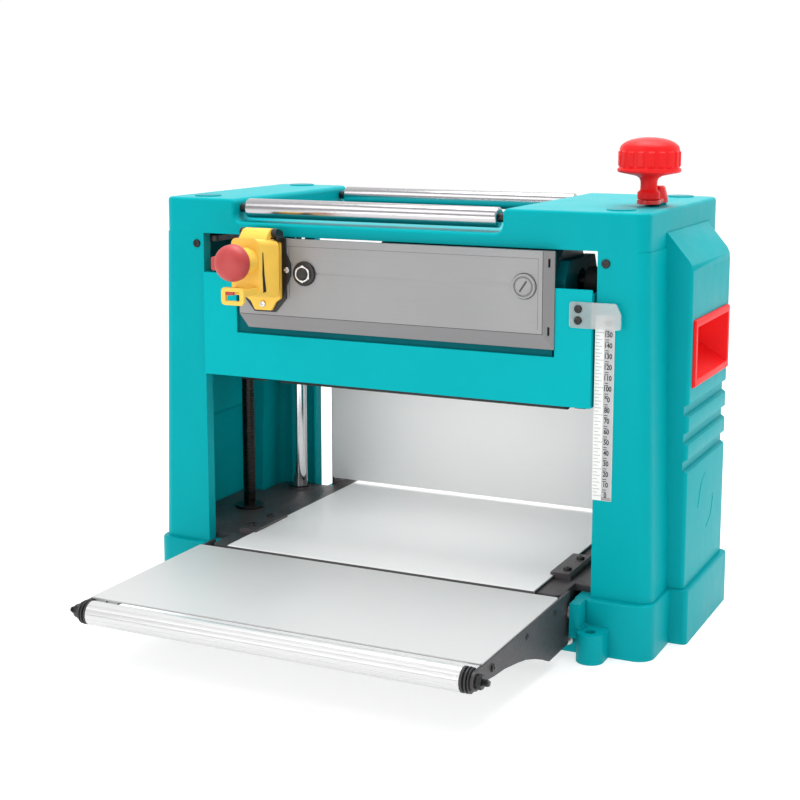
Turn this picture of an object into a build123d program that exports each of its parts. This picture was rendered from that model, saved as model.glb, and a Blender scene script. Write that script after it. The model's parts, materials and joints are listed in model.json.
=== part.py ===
from build123d import *
import os
from math import cos, sin, radians

os.makedirs("parts", exist_ok=True)

# ------------------------------------------------------------------
# Bench thickness planer, 330 mm class.  Millimetres, +Z up.
# X across the machine, Y from the operator towards the outfeed side.
# Origin: centre of the four bench-mounting holes, on the base plane.
# ------------------------------------------------------------------

# base
BASE_HW, BASE_HD, BASE_H = 270.5, 131.5, 53.0      # half width, half depth, ledge height
BULGE_HW = 287.5                                   # half width over the side panels
BULGE_Y0, BULGE_Y1 = -69.0, 84.0
BASE_WALL = 6.0
MID_HW = 197.0                                     # half width of the low middle of the base
LUG_X, LUG_Y, LUG_R, LUG_H, LUG_HOLE_R = 218.0, 146.0, 13.0, 28.0, 5.0

# towers and covers
COL_HW, COL_HD, COL_IN = 258.0, 123.5, 210.0       # outer half width at the seam, half depth, inner edge
COL_FOOT, COL_R = 267.0, 12.0                      # outer half width at the foot, corner radius
COVER_HW = 257.0
SHELL = 3.0
SEAM_Z, SEAM_SIDE_Z, TOP_Z = 378.0, 392.0, 413.5
UP_Y, UP_L = 9.3, 153.0                            # raised upper edge at the side
NOTCH_X0, NOTCH_X1, NOTCH_Z = -174.0, 117.0, 390.5
PANEL_X = 282.5                                    # outer face of the side bulge

# bed
BED_HW, BED_Y0, BED_Y1, BED_Z = 166.5, -158.0, 152.0, 63.6
BED_T = 1.6
CAST_TOP = 60.0

# lift
POST_X, POST_Y, POST_R = 220.0, 88.0, 9.0
FPOST_X, FPOST_Y = 238.0, -92.0                    # front posts, hidden behind the front walls
POSTS = [(FPOST_X, FPOST_Y), (-FPOST_X, FPOST_Y), (POST_X, POST_Y), (-POST_X, POST_Y)]
SCREW_X, SCREW_Y, SCREW_R = 230.0, -9.0, 7.0
CRANK_THROW = 27.0

# top return rollers
RR_Y, RR_Z, RR_R, RR_X0, RR_X1, RR_PIN = 107.0, 403.7, 9.8, -165.5, 108.3, 3.0

# carriage (drawn at the top of its travel)
APRON_HW, APRON_Z0 = 207.5, 233.5
CUT_Z, CUT_R = 241.0, 25.0
FEED_Y, FEED_Z, FEED_R = 52.0, 230.5, 16.0
MOT_Y, MOT_Z, MOT_R = -72.0, 343.8, 40.0
PANEL_Y = -133.5                                   # front face of the aluminium panel

# extension tables
HINGE_Y, HINGE_Z, HINGE_R = 141.0, 42.5, 4.0
TAB_HW, TAB_Y0, TAB_Y1, TAB_Z, TAB_T = 193.5, -166.0, -348.7, 63.3, 1.5
ER_Y, ER_Z, ER_R, ER_HW = -361.5, 53.5, 11.0, 186.0   # end roller of a table

# switch on the aluminium panel
SW_X = -131.5                                      # centre line of the switch
SW_BACK_Y, SW_FACE_Y, SW_LID_Y = -135.5, -145.0, -168.5
SW_HINGE_Y, SW_HINGE_Z = -143.5, 383.0
STOP_Z, START_Z = 357.0, 334.0
MUSH_Z = 358.0
RES_X, RES_Z = -86.8, 343.5                        # reset button
EAR_X, EAR_Z = -131.5, 311.7                       # screw in the lower ear of the switch

# ================================================================== base
with BuildPart() as base_casting:
    with BuildSketch():
        RectangleRounded(2 * BASE_HW, 2 * BASE_HD, 17)
        with Locations((243.75, 7.5), (-243.75, 7.5)):
            RectangleRounded(87.5, 153, 5)
    extrude(amount=BASE_H)
    fillet(base_casting.faces().sort_by(Axis.Z)[-1].edges(), radius=2.5)
    # bench-mounting lugs
    with BuildSketch():
        with GridLocations(2 * LUG_X, 2 * LUG_Y, 2, 2):
            Circle(LUG_R)
        with GridLocations(2 * LUG_X, 2 * (LUG_Y - 9), 2, 2):
            Rectangle(2 * LUG_R, 18)
    extrude(amount=LUG_H)
    # hinge blocks of the extension tables
    with BuildSketch(Plane.XY.offset(20)):
        with GridLocations(2 * 203.5, 2 * 139.5, 2, 2):
            Rectangle(11, 18)
    extrude(amount=BASE_H - 20)
    # cavities open to the floor
    with BuildSketch():
        with Locations((233.75, 0), (-233.75, 0)):
            RectangleRounded(61.5, 2 * (BASE_HD - BASE_WALL), 12)
        with Locations((263.5, 7.5), (-263.5, 7.5)):
            RectangleRounded(36, 141, 4)
        Rectangle(2 * MID_HW, 2 * (BASE_HD - BASE_WALL))
    extrude(amount=22, mode=Mode.SUBTRACT)
    with BuildSketch(Plane.XY.offset(22)):
        with Locations((233.75, 0), (-233.75, 0)):
            RectangleRounded(61.5, 2 * (BASE_HD - BASE_WALL), 12)
        with Locations((263.5, 7.5), (-263.5, 7.5)):
            RectangleRounded(36, 141, 4)
    extrude(amount=23, mode=Mode.SUBTRACT)
    # low middle section under the bed
    with BuildSketch(Plane.XY.offset(30)):
        Rectangle(2 * MID_HW, 2 * BASE_HD + 40)
    extrude(amount=40, mode=Mode.SUBTRACT)
    # post sockets and screw sockets under the tower decks
    with BuildSketch(Plane.XY.offset(24)):
        with Locations(*POSTS):
            Circle(15)
    extrude(amount=22)
    with BuildSketch(Plane.XY.offset(30)):
        with Locations(*POSTS):
            Circle(POST_R)
    extrude(amount=30, mode=Mode.SUBTRACT)
    with BuildSketch(Plane.XY.offset(38)):
        with Locations((SCREW_X, SCREW_Y), (-SCREW_X, SCREW_Y)):
            Circle(18)
    extrude(amount=8)
    with BuildSketch(Plane.XY.offset(30)):
        with Locations((SCREW_X, SCREW_Y), (-SCREW_X, SCREW_Y)):
            Circle(13)
    extrude(amount=30, mode=Mode.SUBTRACT)
    # passage for the chain through the inner walls
    with BuildSketch(Plane.XY.offset(6)):
        with Locations((200, SCREW_Y), (-200, SCREW_Y)):
            Rectangle(16, 52)
    extrude(amount=14, mode=Mode.SUBTRACT)
    # holes in the lugs
    with BuildSketch():
        with GridLocations(2 * LUG_X, 2 * LUG_Y, 2, 2):
            Circle(LUG_HOLE_R)
    extrude(amount=LUG_H + 2, mode=Mode.SUBTRACT)
    # hinge pin bores and a slot beside each hinge block
    with BuildSketch(Plane.YZ.offset(198)):
        with Locations((-HINGE_Y, HINGE_Z), (HINGE_Y, HINGE_Z)):
            Circle(HINGE_R)
    extrude(amount=9, mode=Mode.SUBTRACT)
    with BuildSketch(Plane.YZ.offset(-207)):
        with Locations((-HINGE_Y, HINGE_Z), (HINGE_Y, HINGE_Z)):
            Circle(HINGE_R)
    extrude(amount=9, mode=Mode.SUBTRACT)
    with BuildSketch(Plane.XY.offset(BASE_H - 22)):
        with GridLocations(2 * 208.6, 2 * (BASE_HD + 8), 2, 2):
            Rectangle(1.6, 18)
    extrude(amount=30, mode=Mode.SUBTRACT)
    # stop bolt holes
    with BuildSketch(Plane.XZ.offset(BASE_HD)):
        with Locations((193.5, 14), (-193.5, 14)):
            Circle(3)
    extrude(amount=-12, mode=Mode.SUBTRACT)
    with BuildSketch(Plane.XZ.offset(-BASE_HD)):
        with Locations((193.5, 14), (-193.5, 14)):
            Circle(3)
    extrude(amount=12, mode=Mode.SUBTRACT)
base_casting.part.label = "base_casting"
export_step(base_casting.part, "parts/base_casting.step")

with BuildPart() as bed_casting:
    with BuildSketch(Plane.XY.offset(30)):
        with Locations((0, -1.5)):
            RectangleRounded(380, 299, 6)
    extrude(amount=CAST_TOP - 30)
    with BuildSketch(Plane.XY.offset(BASE_H)):
        with Locations((0, 0)):
            RectangleRounded(504, 220, 16)
        with Locations((0, 7)):
            RectangleRounded(550, 104, 4)
    extrude(amount=CAST_TOP - BASE_H)
    # machined seat for the bed plate
    with BuildSketch(Plane.XY.offset(CAST_TOP)):
        with Locations((0, -1.5)):
            Rectangle(330, 298)
    extrude(amount=BED_Z - BED_T - CAST_TOP)
    # pockets between ribs on the underside
    with BuildSketch(Plane.XY.offset(30)):
        with Locations((0, -1.5)):
            with GridLocations(122, 96, 3, 3):
                Rectangle(116, 91)
    extrude(amount=25, mode=Mode.SUBTRACT)
    # raised rings round the guide posts
    with BuildSketch(Plane.XY.offset(CAST_TOP)):
        with Locations(*POSTS):
            Circle(12.8)
    extrude(amount=2.5)
    with BuildSketch(Plane.XY.offset(BASE_H)):
        with Locations(*POSTS):
            Circle(POST_R)
        with Locations((SCREW_X, SCREW_Y), (-SCREW_X, SCREW_Y)):
            Circle(13)
    extrude(amount=20, mode=Mode.SUBTRACT)
    # tapped holes for the bed clips
    with BuildSketch(Plane.XY.offset(52)):
        with Locations((176, -92), (176, -54), (-176, -92), (-176, -54)):
            Circle(2)
    extrude(amount=10, mode=Mode.SUBTRACT)
bed_casting.part.label = "bed_casting"
export_step(bed_casting.part, "parts/bed_casting.step")

with BuildPart() as bed_plate:
    with BuildSketch(Plane.YZ.offset(-BED_HW)):
        with BuildLine():
            Polyline((BED_Y0, 54), (BED_Y0, BED_Z - 1), (BED_Y0 + 1, BED_Z), (BED_Y1 - 1, BED_Z), (BED_Y1, BED_Z - 1),
                     (BED_Y1, 54), (BED_Y1 - BED_T, 54), (BED_Y1 - BED_T, BED_Z - BED_T), (BED_Y0 + BED_T, BED_Z - BED_T),
                     (BED_Y0 + BED_T, 54), close=True)
        make_face()
    extrude(amount=2 * BED_HW)
bed_plate.part.label = "bed_plate"
export_step(bed_plate.part, "parts/bed_plate.step")

with BuildPart() as bed_clips:
    for s in (1, -1):
        with BuildSketch(Plane.XZ.offset(106)):
            with BuildLine():
                Polyline((s * 167, CAST_TOP), (s * 184, CAST_TOP), (s * 184, 64), (s * 182, 66.4), (s * 163.5, 66.4),
                         (s * 163.5, BED_Z), (s * 167, BED_Z), close=True)
            make_face()
        extrude(amount=-66)
    with BuildSketch(Plane.XY.offset(CAST_TOP)):
        with Locations((176, -92), (176, -54), (-176, -92), (-176, -54)):
            Circle(2)
    extrude(amount=10, mode=Mode.SUBTRACT)
bed_clips.part.label = "bed_clips"
export_step(bed_clips.part, "parts/bed_clips.step")

# ================================================================== tower side housings
def bulge_plan(inset):
    return [(249, -66 + inset), (PANEL_X - inset, -65 + inset), (PANEL_X - inset, 79 - inset), (249, 80 - inset)]

with BuildPart() as right_side_housing:
    # outer form of the tower
    for z, hw in ((BASE_H, COL_FOOT), (SEAM_Z, COL_HW)):
        with BuildSketch(Plane.XY.offset(z)):
            with BuildLine():
                Polyline((COL_IN, -COL_HD), (hw, -COL_HD), (hw, COL_HD), (COL_IN, COL_HD), close=True)
            make_face()
            fillet([v for v in vertices() if v.X > 250], radius=COL_R)
    loft()
    with BuildSketch(Plane.XY.offset(SEAM_Z)):
        with Locations((COL_HW - 3.5, UP_Y)):
            Rectangle(7, UP_L)
    extrude(amount=SEAM_SIDE_Z - SEAM_Z)
    # bulged side panel with a sloping top
    with BuildSketch(Plane.XY.offset(BASE_H)) as bulge_sk:
        with BuildLine():
            Polyline(*bulge_plan(0), close=True)
        make_face()
        fillet([v for v in vertices() if v.X > 275], radius=4)
    bulge_ext = extrude(amount=SEAM_SIDE_Z - 0.5 - BASE_H, mode=Mode.PRIVATE)
    with BuildSketch(Plane.XZ.offset(120)):
        with BuildLine():
            Polyline((249, BASE_H), (PANEL_X, BASE_H), (PANEL_X, 356), (PANEL_X - 1.2, 362), (PANEL_X - 4, 367),
                     (COL_HW, SEAM_SIDE_Z - 0.5), (249, SEAM_SIDE_Z - 0.5), close=True)
        make_face()
    bulge_side = extrude(amount=-240, mode=Mode.PRIVATE)
    add(bulge_ext & bulge_side)
    # hollow the shell
    for z, hw in ((BASE_H - 1, COL_FOOT), (SEAM_Z + 1, COL_HW)):
        with BuildSketch(Plane.XY.offset(z)):
            with BuildLine():
                Polyline((COL_IN + SHELL, SHELL - COL_HD), (hw - SHELL, SHELL - COL_HD), (hw - SHELL, COL_HD - SHELL),
                         (COL_IN + SHELL, COL_HD - SHELL), close=True)
            make_face()
            fillet([v for v in vertices() if v.X > 250], radius=COL_R - SHELL)
    loft(mode=Mode.SUBTRACT)
    with BuildSketch(Plane.XY.offset(BASE_H - 1)):
        with Locations((208, 0)):
            Rectangle(20, 222)
    extrude(amount=SEAM_Z - BASE_H + 2, mode=Mode.SUBTRACT)
    with BuildSketch(Plane.XY.offset(SEAM_Z)):
        with Locations((COL_HW - 12, UP_Y)):
            Rectangle(16, 160)
    extrude(amount=30, mode=Mode.SUBTRACT)
    with BuildSketch(Plane.XY.offset(BASE_H - 1)):
        with BuildLine():
            Polyline(*bulge_plan(3), close=True)
        make_face()
    cav_ext = extrude(amount=400, mode=Mode.PRIVATE)
    with BuildSketch(Plane.XZ.offset(120)):
        with BuildLine():
            Polyline((245, BASE_H - 1), (PANEL_X - 3, BASE_H - 1), (PANEL_X - 3, 158), (PANEL_X - 9, 164),
                     (PANEL_X - 9, 238), (PANEL_X - 3, 244), (PANEL_X - 3, 355), (PANEL_X - 7, 363.5),
                     (COL_HW - 3, 383), (245, 383), close=True)
        make_face()
    cav_side = extrude(amount=-240, mode=Mode.PRIVATE)
    add(cav_ext & cav_side, mode=Mode.SUBTRACT)
    # three horizontal grip grooves below the carrying handle
    for gz in (226.0, 199.5, 173.0):
        with BuildSketch(Plane.XZ.offset(100)):
            with BuildLine():
                Polyline((PANEL_X + 2, gz - 7), (PANEL_X, gz - 6.5), (PANEL_X - 4.5, gz - 4), (PANEL_X - 4.5, gz + 4),
                         (PANEL_X, gz + 6.5), (PANEL_X + 2, gz + 7), close=True)
            make_face()
        extrude(amount=-200, mode=Mode.SUBTRACT)
    # opening for the carrying handle
    with BuildSketch(Plane.YZ.offset(265)):
        with Locations((7, 278.5)):
            Rectangle(122, 57)
    extrude(amount=30, mode=Mode.SUBTRACT)
    # screw holes, front and rear
    with BuildSketch(Plane.XZ.offset(130)):
        with Locations((218, 367)):
            Circle(2)
    extrude(amount=-260, mode=Mode.SUBTRACT)
right_side_housing.part.label = "right_side_housing"
export_step(right_side_housing.part, "parts/right_side_housing.step")

with BuildPart() as left_side_housing:
    add(right_side_housing.part.mirror(Plane.YZ))
left_side_housing.part.label = "left_side_housing"
export_step(left_side_housing.part, "parts/left_side_housing.step")

# recessed carrying handles, one each side
with BuildPart() as carry_handles:
    with BuildSketch(Plane.YZ.offset(PANEL_X)):
        with Locations((7, 278.5)):
            RectangleRounded(130, 65, 3)
    extrude(amount=3.0, taper=25)
    # pocket for the fingers, narrowing inwards
    with BuildSketch(Plane.XZ.offset(80)):
        with BuildLine():
            Polyline((PANEL_X + 1, 250.2), (PANEL_X + 1, 306.8), (252, 306.8), (252, 272), close=True)
        make_face()
    pocket_side = extrude(amount=-180, mode=Mode.PRIVATE)
    with BuildSketch(Plane.XY.offset(240)):
        with BuildLine():
            Polyline((PANEL_X + 1, -53.8), (PANEL_X + 1, 67.8), (252, 59), (252, -45), close=True)
        make_face()
    pocket_plan = extrude(amount=80, mode=Mode.PRIVATE)
    add(pocket_side & pocket_plan)
    with BuildSketch(Plane.XZ.offset(80)):
        with BuildLine():
            Polyline((PANEL_X + 6, 253), (PANEL_X + 6, 303.5), (254.5, 303.5), (254.5, 276), (PANEL_X, 254.6), close=True)
        make_face()
    hollow_side = extrude(amount=-180, mode=Mode.PRIVATE)
    with BuildSketch(Plane.XY.offset(240)):
        with BuildLine():
            Polyline((PANEL_X + 6, -51.3), (PANEL_X + 6, 65.3), (254.5, 56.5), (254.5, -42.5), close=True)
        make_face()
    hollow_plan = extrude(amount=80, mode=Mode.PRIVATE)
    add(hollow_side & hollow_plan, mode=Mode.SUBTRACT)
    mirror(about=Plane.YZ)
carry_handles.part.label = "carry_handles"
export_step(carry_handles.part, "parts/carry_handles.step")

# ================================================================== top cover
with BuildPart() as top_cover:
    with BuildSketch(Plane.XZ.offset(COL_HD)):
        with BuildLine():
            Polyline((-COVER_HW, SEAM_Z), (COVER_HW, SEAM_Z), (COVER_HW, TOP_Z), (NOTCH_X1, TOP_Z), (NOTCH_X1, NOTCH_Z),
                     (NOTCH_X0, NOTCH_Z), (NOTCH_X0, TOP_Z), (-COVER_HW, TOP_Z), close=True)
        make_face()
        fillet([v for v in vertices() if abs(v.X) < 200 and v.Y < NOTCH_Z + 1], radius=8)
        fillet([v for v in vertices() if abs(v.X) < 200 and v.Y > TOP_Z - 1], radius=5)
    extrude(amount=-2 * COL_HD)
    fillet(top_cover.edges().filter_by(Axis.Z).filter_by(lambda e: abs(e.center().X) > 250), radius=12)
    fillet(top_cover.edges().filter_by(lambda e: e.center().Z > SEAM_Z + 1 and abs(abs(e.center().Y) - COL_HD) < 0.01
                                       and abs(e.center().X) < 244), radius=3.5)
    with BuildSketch(Plane.XY.offset(SEAM_Z)):
        RectangleRounded(2 * (COVER_HW - SHELL), 2 * (COL_HD - SHELL), 9)
    extrude(amount=NOTCH_Z - SHELL - SEAM_Z, mode=Mode.SUBTRACT)
    with BuildSketch(Plane.XY.offset(NOTCH_Z - SHELL)):
        with Locations(((-COVER_HW + NOTCH_X0) / 2, 0)):
            RectangleRounded(COVER_HW + NOTCH_X0 - 2 * SHELL, 2 * (COL_HD - SHELL) - 3, 9)
        with Locations(((COVER_HW + NOTCH_X1) / 2, 0)):
            RectangleRounded(COVER_HW - NOTCH_X1 - 2 * SHELL, 2 * (COL_HD - SHELL) - 3, 9)
    extrude(amount=TOP_Z - NOTCH_Z - 1, mode=Mode.SUBTRACT)
    # clearance for the raised upper edge of the side housings
    with BuildSketch(Plane.XY.offset(SEAM_Z - 1)):
        with Locations((COL_HW - 3, UP_Y), (-COL_HW + 3, UP_Y)):
            Rectangle(10, UP_L)
    extrude(amount=SEAM_SIDE_Z - SEAM_Z + 1, mode=Mode.SUBTRACT)
    # boss for the crank shaft
    with BuildSketch(Plane.XY.offset(TOP_Z - 5)):
        with Locations((SCREW_X, SCREW_Y)):
            Circle(9.4)
    extrude(amount=6.6)
    with BuildSketch(Plane.XY.offset(TOP_Z - 8)):
        with Locations((SCREW_X, SCREW_Y)):
            Circle(SCREW_R + 0.5)
    extrude(amount=20, mode=Mode.SUBTRACT)
    # round pads over the posts
    with BuildSketch(Plane.XY.offset(TOP_Z)):
        with Locations((222, -94), (-222, -94), (222, 104), (-222, 104)):
            Circle(14)
    extrude(amount=1.3, taper=20)
    # seats of the return roller pins
    with BuildSketch(Plane.YZ.offset(NOTCH_X0 - SHELL - 1)):
        with Locations((-RR_Y, RR_Z - 4), (RR_Y, RR_Z - 4)):
            Rectangle(14, 12)
    extrude(amount=3)
    with BuildSketch(Plane.YZ.offset(NOTCH_X1 + 1)):
        with Locations((-RR_Y, RR_Z - 4), (RR_Y, RR_Z - 4)):
            Rectangle(14, 12)
    extrude(amount=3)
    with BuildSketch(Plane.YZ.offset(NOTCH_X0 - SHELL - 2)):
        with Locations((-RR_Y, RR_Z), (RR_Y, RR_Z)):
            Circle(RR_PIN)
    extrude(amount=10, mode=Mode.SUBTRACT)
    with BuildSketch(Plane.YZ.offset(NOTCH_X1 - 3)):
        with Locations((-RR_Y, RR_Z), (RR_Y, RR_Z)):
            Circle(RR_PIN)
    extrude(amount=10, mode=Mode.SUBTRACT)
top_cover.part.label = "top_cover"
export_step(top_cover.part, "parts/top_cover.step")

# ================================================================== lift gear and frame hardware
with BuildPart() as crosshead_plates:
    for s in (1, -1):
        with BuildSketch(Plane.XY.offset(368)):
            with Locations((s * 227, 0)):
                RectangleRounded(46, 216, 5)
        extrude(amount=6)
        with BuildSketch(Plane.XY.offset(360)):
            with Locations((s * 220, -112.25), (s * 220, 112.25)):
                Rectangle(12, 16.5)
        extrude(amount=14)
    with BuildSketch(Plane.XY.offset(360)):
        with Locations(*POSTS):
            Circle(6)
        with Locations((SCREW_X, SCREW_Y), (-SCREW_X, SCREW_Y)):
            Circle(10)
    extrude(amount=20, mode=Mode.SUBTRACT)
    with BuildSketch(Plane.XZ.offset(COL_HD)):
        with Locations((218, 367), (-218, 367)):
            Circle(2)
    extrude(amount=-14, mode=Mode.SUBTRACT)
    with BuildSketch(Plane.XZ.offset(-COL_HD)):
        with Locations((218, 367), (-218, 367)):
            Circle(2)
    extrude(amount=14, mode=Mode.SUBTRACT)
crosshead_plates.part.label = "crosshead_plates"
export_step(crosshead_plates.part, "parts/crosshead_plates.step")

with BuildPart() as guide_posts:
    with BuildSketch(Plane.XY.offset(30)):
        with Locations(*POSTS):
            Circle(POST_R)
    extrude(amount=338)
    with BuildSketch(Plane.XY.offset(368)):
        with Locations(*POSTS):
            Circle(6)
    extrude(amount=18)
guide_posts.part.label = "guide_posts"
export_step(guide_posts.part, "parts/guide_posts.step")

with BuildPart() as frame_fasteners:
    # nuts on the posts
    with BuildSketch(Plane.XY.offset(374)):
        with Locations(*POSTS):
            RegularPolygon(11, 6)
            Circle(6, mode=Mode.SUBTRACT)
    extrude(amount=9)
    # washers where the posts pass through the bed casting
    with BuildSketch(Plane.XY.offset(62.5)):
        with Locations(*POSTS):
            Circle(12.5)
            Circle(POST_R, mode=Mode.SUBTRACT)
    extrude(amount=2)
    # screws of the side housings
    for s in (1, -1):
        with BuildSketch(Plane.XZ.offset(s * COL_HD)):
            with Locations((218, 367), (-218, 367)):
                Circle(3.6)
        extrude(amount=s * 1.6)
        with BuildSketch(Plane.XZ.offset(s * COL_HD)):
            with Locations((218, 367), (-218, 367)):
                Circle(2)
        extrude(amount=-s * 13)
    # screws of the bed clips
    with BuildSketch(Plane.XY.offset(66.4)):
        with Locations((176, -92), (176, -54), (-176, -92), (-176, -54)):
            Circle(4.2)
    extrude(amount=2.4)
    with BuildSketch(Plane.XY.offset(53)):
        with Locations((176, -92), (176, -54), (-176, -92), (-176, -54)):
            Circle(2)
    extrude(amount=13.4)
frame_fasteners.part.label = "frame_fasteners"
export_step(frame_fasteners.part, "parts/frame_fasteners.step")

with BuildPart() as depth_scale:
    with BuildSketch(Plane.XZ.offset(COL_HD)):
        with Locations((218.7, 233.75)):
            Rectangle(18.6, 172.5)
    extrude(amount=0.9)
depth_scale.part.label = "depth_scale"
export_step(depth_scale.part, "parts/depth_scale.step")

with BuildPart() as lead_screw_bushes:
    for s in (1, -1):
        with BuildSketch(Plane.XZ.offset(-SCREW_Y)):
            with BuildLine():
                Polyline((s * SCREW_X + 6.05, 38), (s * SCREW_X + 13, 38), (s * SCREW_X + 13, CAST_TOP),
                         (s * SCREW_X + 16, CAST_TOP), (s * SCREW_X + 16, 63), (s * SCREW_X + 6.05, 63), close=True)
            make_face()
        revolve(axis=Axis((s * SCREW_X, SCREW_Y, 0), (0, 0, 1)))
        with BuildSketch(Plane.XZ.offset(-SCREW_Y)):
            with BuildLine():
                Polyline((s * SCREW_X + 6.05, 367), (s * SCREW_X + 10, 367), (s * SCREW_X + 10, 374),
                         (s * SCREW_X + 13, 374), (s * SCREW_X + 13, 377), (s * SCREW_X + 6.05, 377), close=True)
            make_face()
        revolve(axis=Axis((s * SCREW_X, SCREW_Y, 0), (0, 0, 1)))
lead_screw_bushes.part.label = "lead_screw_bushes"
export_step(lead_screw_bushes.part, "parts/lead_screw_bushes.step")

with BuildPart() as pivot_pins:
    for s in (1, -1):
        with BuildSketch(Plane.YZ.offset(s * 190.6)):
            with Locations((-HINGE_Y, HINGE_Z), (HINGE_Y, HINGE_Z)):
                Circle(HINGE_R)
        extrude(amount=s * 16.4)
        with BuildSketch(Plane.YZ.offset(s * 190.6)):
            with Locations((-HINGE_Y, HINGE_Z), (HINGE_Y, HINGE_Z)):
                Circle(6)
        extrude(amount=s * 1.0)
        with BuildSketch(Plane.YZ.offset(s * 195.4)):
            with Locations((-HINGE_Y, HINGE_Z), (HINGE_Y, HINGE_Z)):
                Circle(6.5)
        extrude(amount=s * 2.6)
pivot_pins.part.label = "pivot_pins"
export_step(pivot_pins.part, "parts/pivot_pins.step")

with BuildPart() as table_stop_bolts:
    for s in (1, -1):
        with BuildSketch(Plane.XZ.offset(s * BASE_HD)):
            with Locations((193.5, 14), (-193.5, 14)):
                RegularPolygon(5.5, 6)
        extrude(amount=s * 7)
        with BuildSketch(Plane.XZ.offset(s * BASE_HD)):
            with Locations((193.5, 14), (-193.5, 14)):
                Circle(3)
        extrude(amount=-s * 14)
table_stop_bolts.part.label = "table_stop_bolts"
export_step(table_stop_bolts.part, "parts/table_stop_bolts.step")

with BuildPart() as lift_chain:
    with BuildSketch(Plane.XY.offset(11)):
        with Locations((0, SCREW_Y)):
            SlotOverall(2 * SCREW_X + 48.8, 48.8)
            SlotOverall(2 * SCREW_X + 40.8, 40.8, mode=Mode.SUBTRACT)
    extrude(amount=4)
lift_chain.part.label = "lift_chain"
export_step(lift_chain.part, "parts/lift_chain.step")

with BuildPart() as right_lead_screw:
    with BuildSketch(Plane.XZ.offset(-SCREW_Y)):
        with BuildLine():
            Polyline((SCREW_X, 6), (SCREW_X + 6, 6), (SCREW_X + 6, 64), (SCREW_X + SCREW_R, 64.5),
                     (SCREW_X + SCREW_R, 365.5), (SCREW_X + 6, 366), (SCREW_X + 6, 428), (SCREW_X, 428), close=True)
        make_face()
    revolve(axis=Axis((SCREW_X, SCREW_Y, 0), (0, 0, 1)))
right_lead_screw.part.label = "right_lead_screw"
export_step(right_lead_screw.part, "parts/right_lead_screw.step")

with BuildPart() as left_lead_screw:
    with BuildSketch(Plane.XZ.offset(-SCREW_Y)):
        with BuildLine():
            Polyline((-SCREW_X, 6), (-SCREW_X + 6, 6), (-SCREW_X + 6, 64), (-SCREW_X + SCREW_R, 64.5),
                     (-SCREW_X + SCREW_R, 365.5), (-SCREW_X + 6, 366), (-SCREW_X + 6, 380), (-SCREW_X, 380), close=True)
        make_face()
    revolve(axis=Axis((-SCREW_X, SCREW_Y, 0), (0, 0, 1)))
left_lead_screw.part.label = "left_lead_screw"
export_step(left_lead_screw.part, "parts/left_lead_screw.step")

with BuildPart() as right_sprocket:
    with BuildSketch(Plane.XY.offset(10)):
        with Locations((SCREW_X, SCREW_Y)):
            Circle(20)
            Circle(6, mode=Mode.SUBTRACT)
    extrude(amount=6)
    with BuildSketch(Plane.XY.offset(16)):
        with Locations((SCREW_X, SCREW_Y)):
            Circle(11)
            Circle(6, mode=Mode.SUBTRACT)
    extrude(amount=8)
right_sprocket.part.label = "right_sprocket"
export_step(right_sprocket.part, "parts/right_sprocket.step")

with BuildPart() as left_sprocket:
    with BuildSketch(Plane.XY.offset(10)):
        with Locations((-SCREW_X, SCREW_Y)):
            Circle(20)
            Circle(6, mode=Mode.SUBTRACT)
    extrude(amount=6)
    with BuildSketch(Plane.XY.offset(16)):
        with Locations((-SCREW_X, SCREW_Y)):
            Circle(11)
            Circle(6, mode=Mode.SUBTRACT)
    extrude(amount=8)
left_sprocket.part.label = "left_sprocket"
export_step(left_sprocket.part, "parts/left_sprocket.step")

KNOB_Y = SCREW_Y - CRANK_THROW
with BuildPart() as crank_arm:
    with BuildSketch(Plane.XY.offset(415.5)):
        with Locations((SCREW_X, SCREW_Y), (SCREW_X, KNOB_Y)):
            Circle(11)
        with Locations((SCREW_X, (SCREW_Y + KNOB_Y) / 2)):
            Rectangle(18, CRANK_THROW)
    extrude(amount=4)
    with BuildSketch(Plane.XZ.offset(-SCREW_Y)):
        with BuildLine():
            Polyline((SCREW_X, 419.5), (SCREW_X + 11, 419.5), (SCREW_X + 8, 430), (SCREW_X + 6.5, 431.5), (SCREW_X, 431.5), close=True)
        make_face()
    revolve(axis=Axis((SCREW_X, SCREW_Y, 0), (0, 0, 1)))
    with BuildSketch(Plane.XY.offset(415)):
        with Locations((SCREW_X, SCREW_Y)):
            Circle(6)
    extrude(amount=13, mode=Mode.SUBTRACT)
    # pin carrying the knob
    with BuildSketch(Plane.XY.offset(419.5)):
        with Locations((SCREW_X, KNOB_Y)):
            Circle(4)
    extrude(amount=44)
    with BuildSketch(Plane.XY.offset(463)):
        with Locations((SCREW_X, KNOB_Y)):
            Circle(6.5)
    extrude(amount=2.4)
crank_arm.part.label = "crank_arm"
export_step(crank_arm.part, "parts/crank_arm.step")

with BuildPart() as crank_knob:
    with BuildSketch(Plane.XZ.offset(-KNOB_Y)):
        with BuildLine():
            Polyline((SCREW_X + 4.05, 420), (SCREW_X + 10.6, 420), (SCREW_X + 10.6, 427), (SCREW_X + 8.2, 428.6),
                     (SCREW_X + 7.8, 434), (SCREW_X + 8.2, 438), (SCREW_X + 10.5, 441), (SCREW_X + 14, 442.4),
                     (SCREW_X + 28.4, 445.3), (SCREW_X + 29.8, 446.3), (SCREW_X + 29.8, 448.7), (SCREW_X + 28.2, 449.7),
                     (SCREW_X + 28.2, 466.7), (SCREW_X + 27, 470.6), (SCREW_X + 23, 473.6), (SCREW_X + 17, 475.9),
                     (SCREW_X + 8, 477.6), (SCREW_X, 478),
                     (SCREW_X, 466.2), (SCREW_X + 7.2, 466.2), (SCREW_X + 7.2, 462), (SCREW_X + 4.05, 462), close=True)
        make_face()
    revolve(axis=Axis((SCREW_X, KNOB_Y, 0), (0, 0, 1)))
crank_knob.part.label = "crank_knob"
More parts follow.
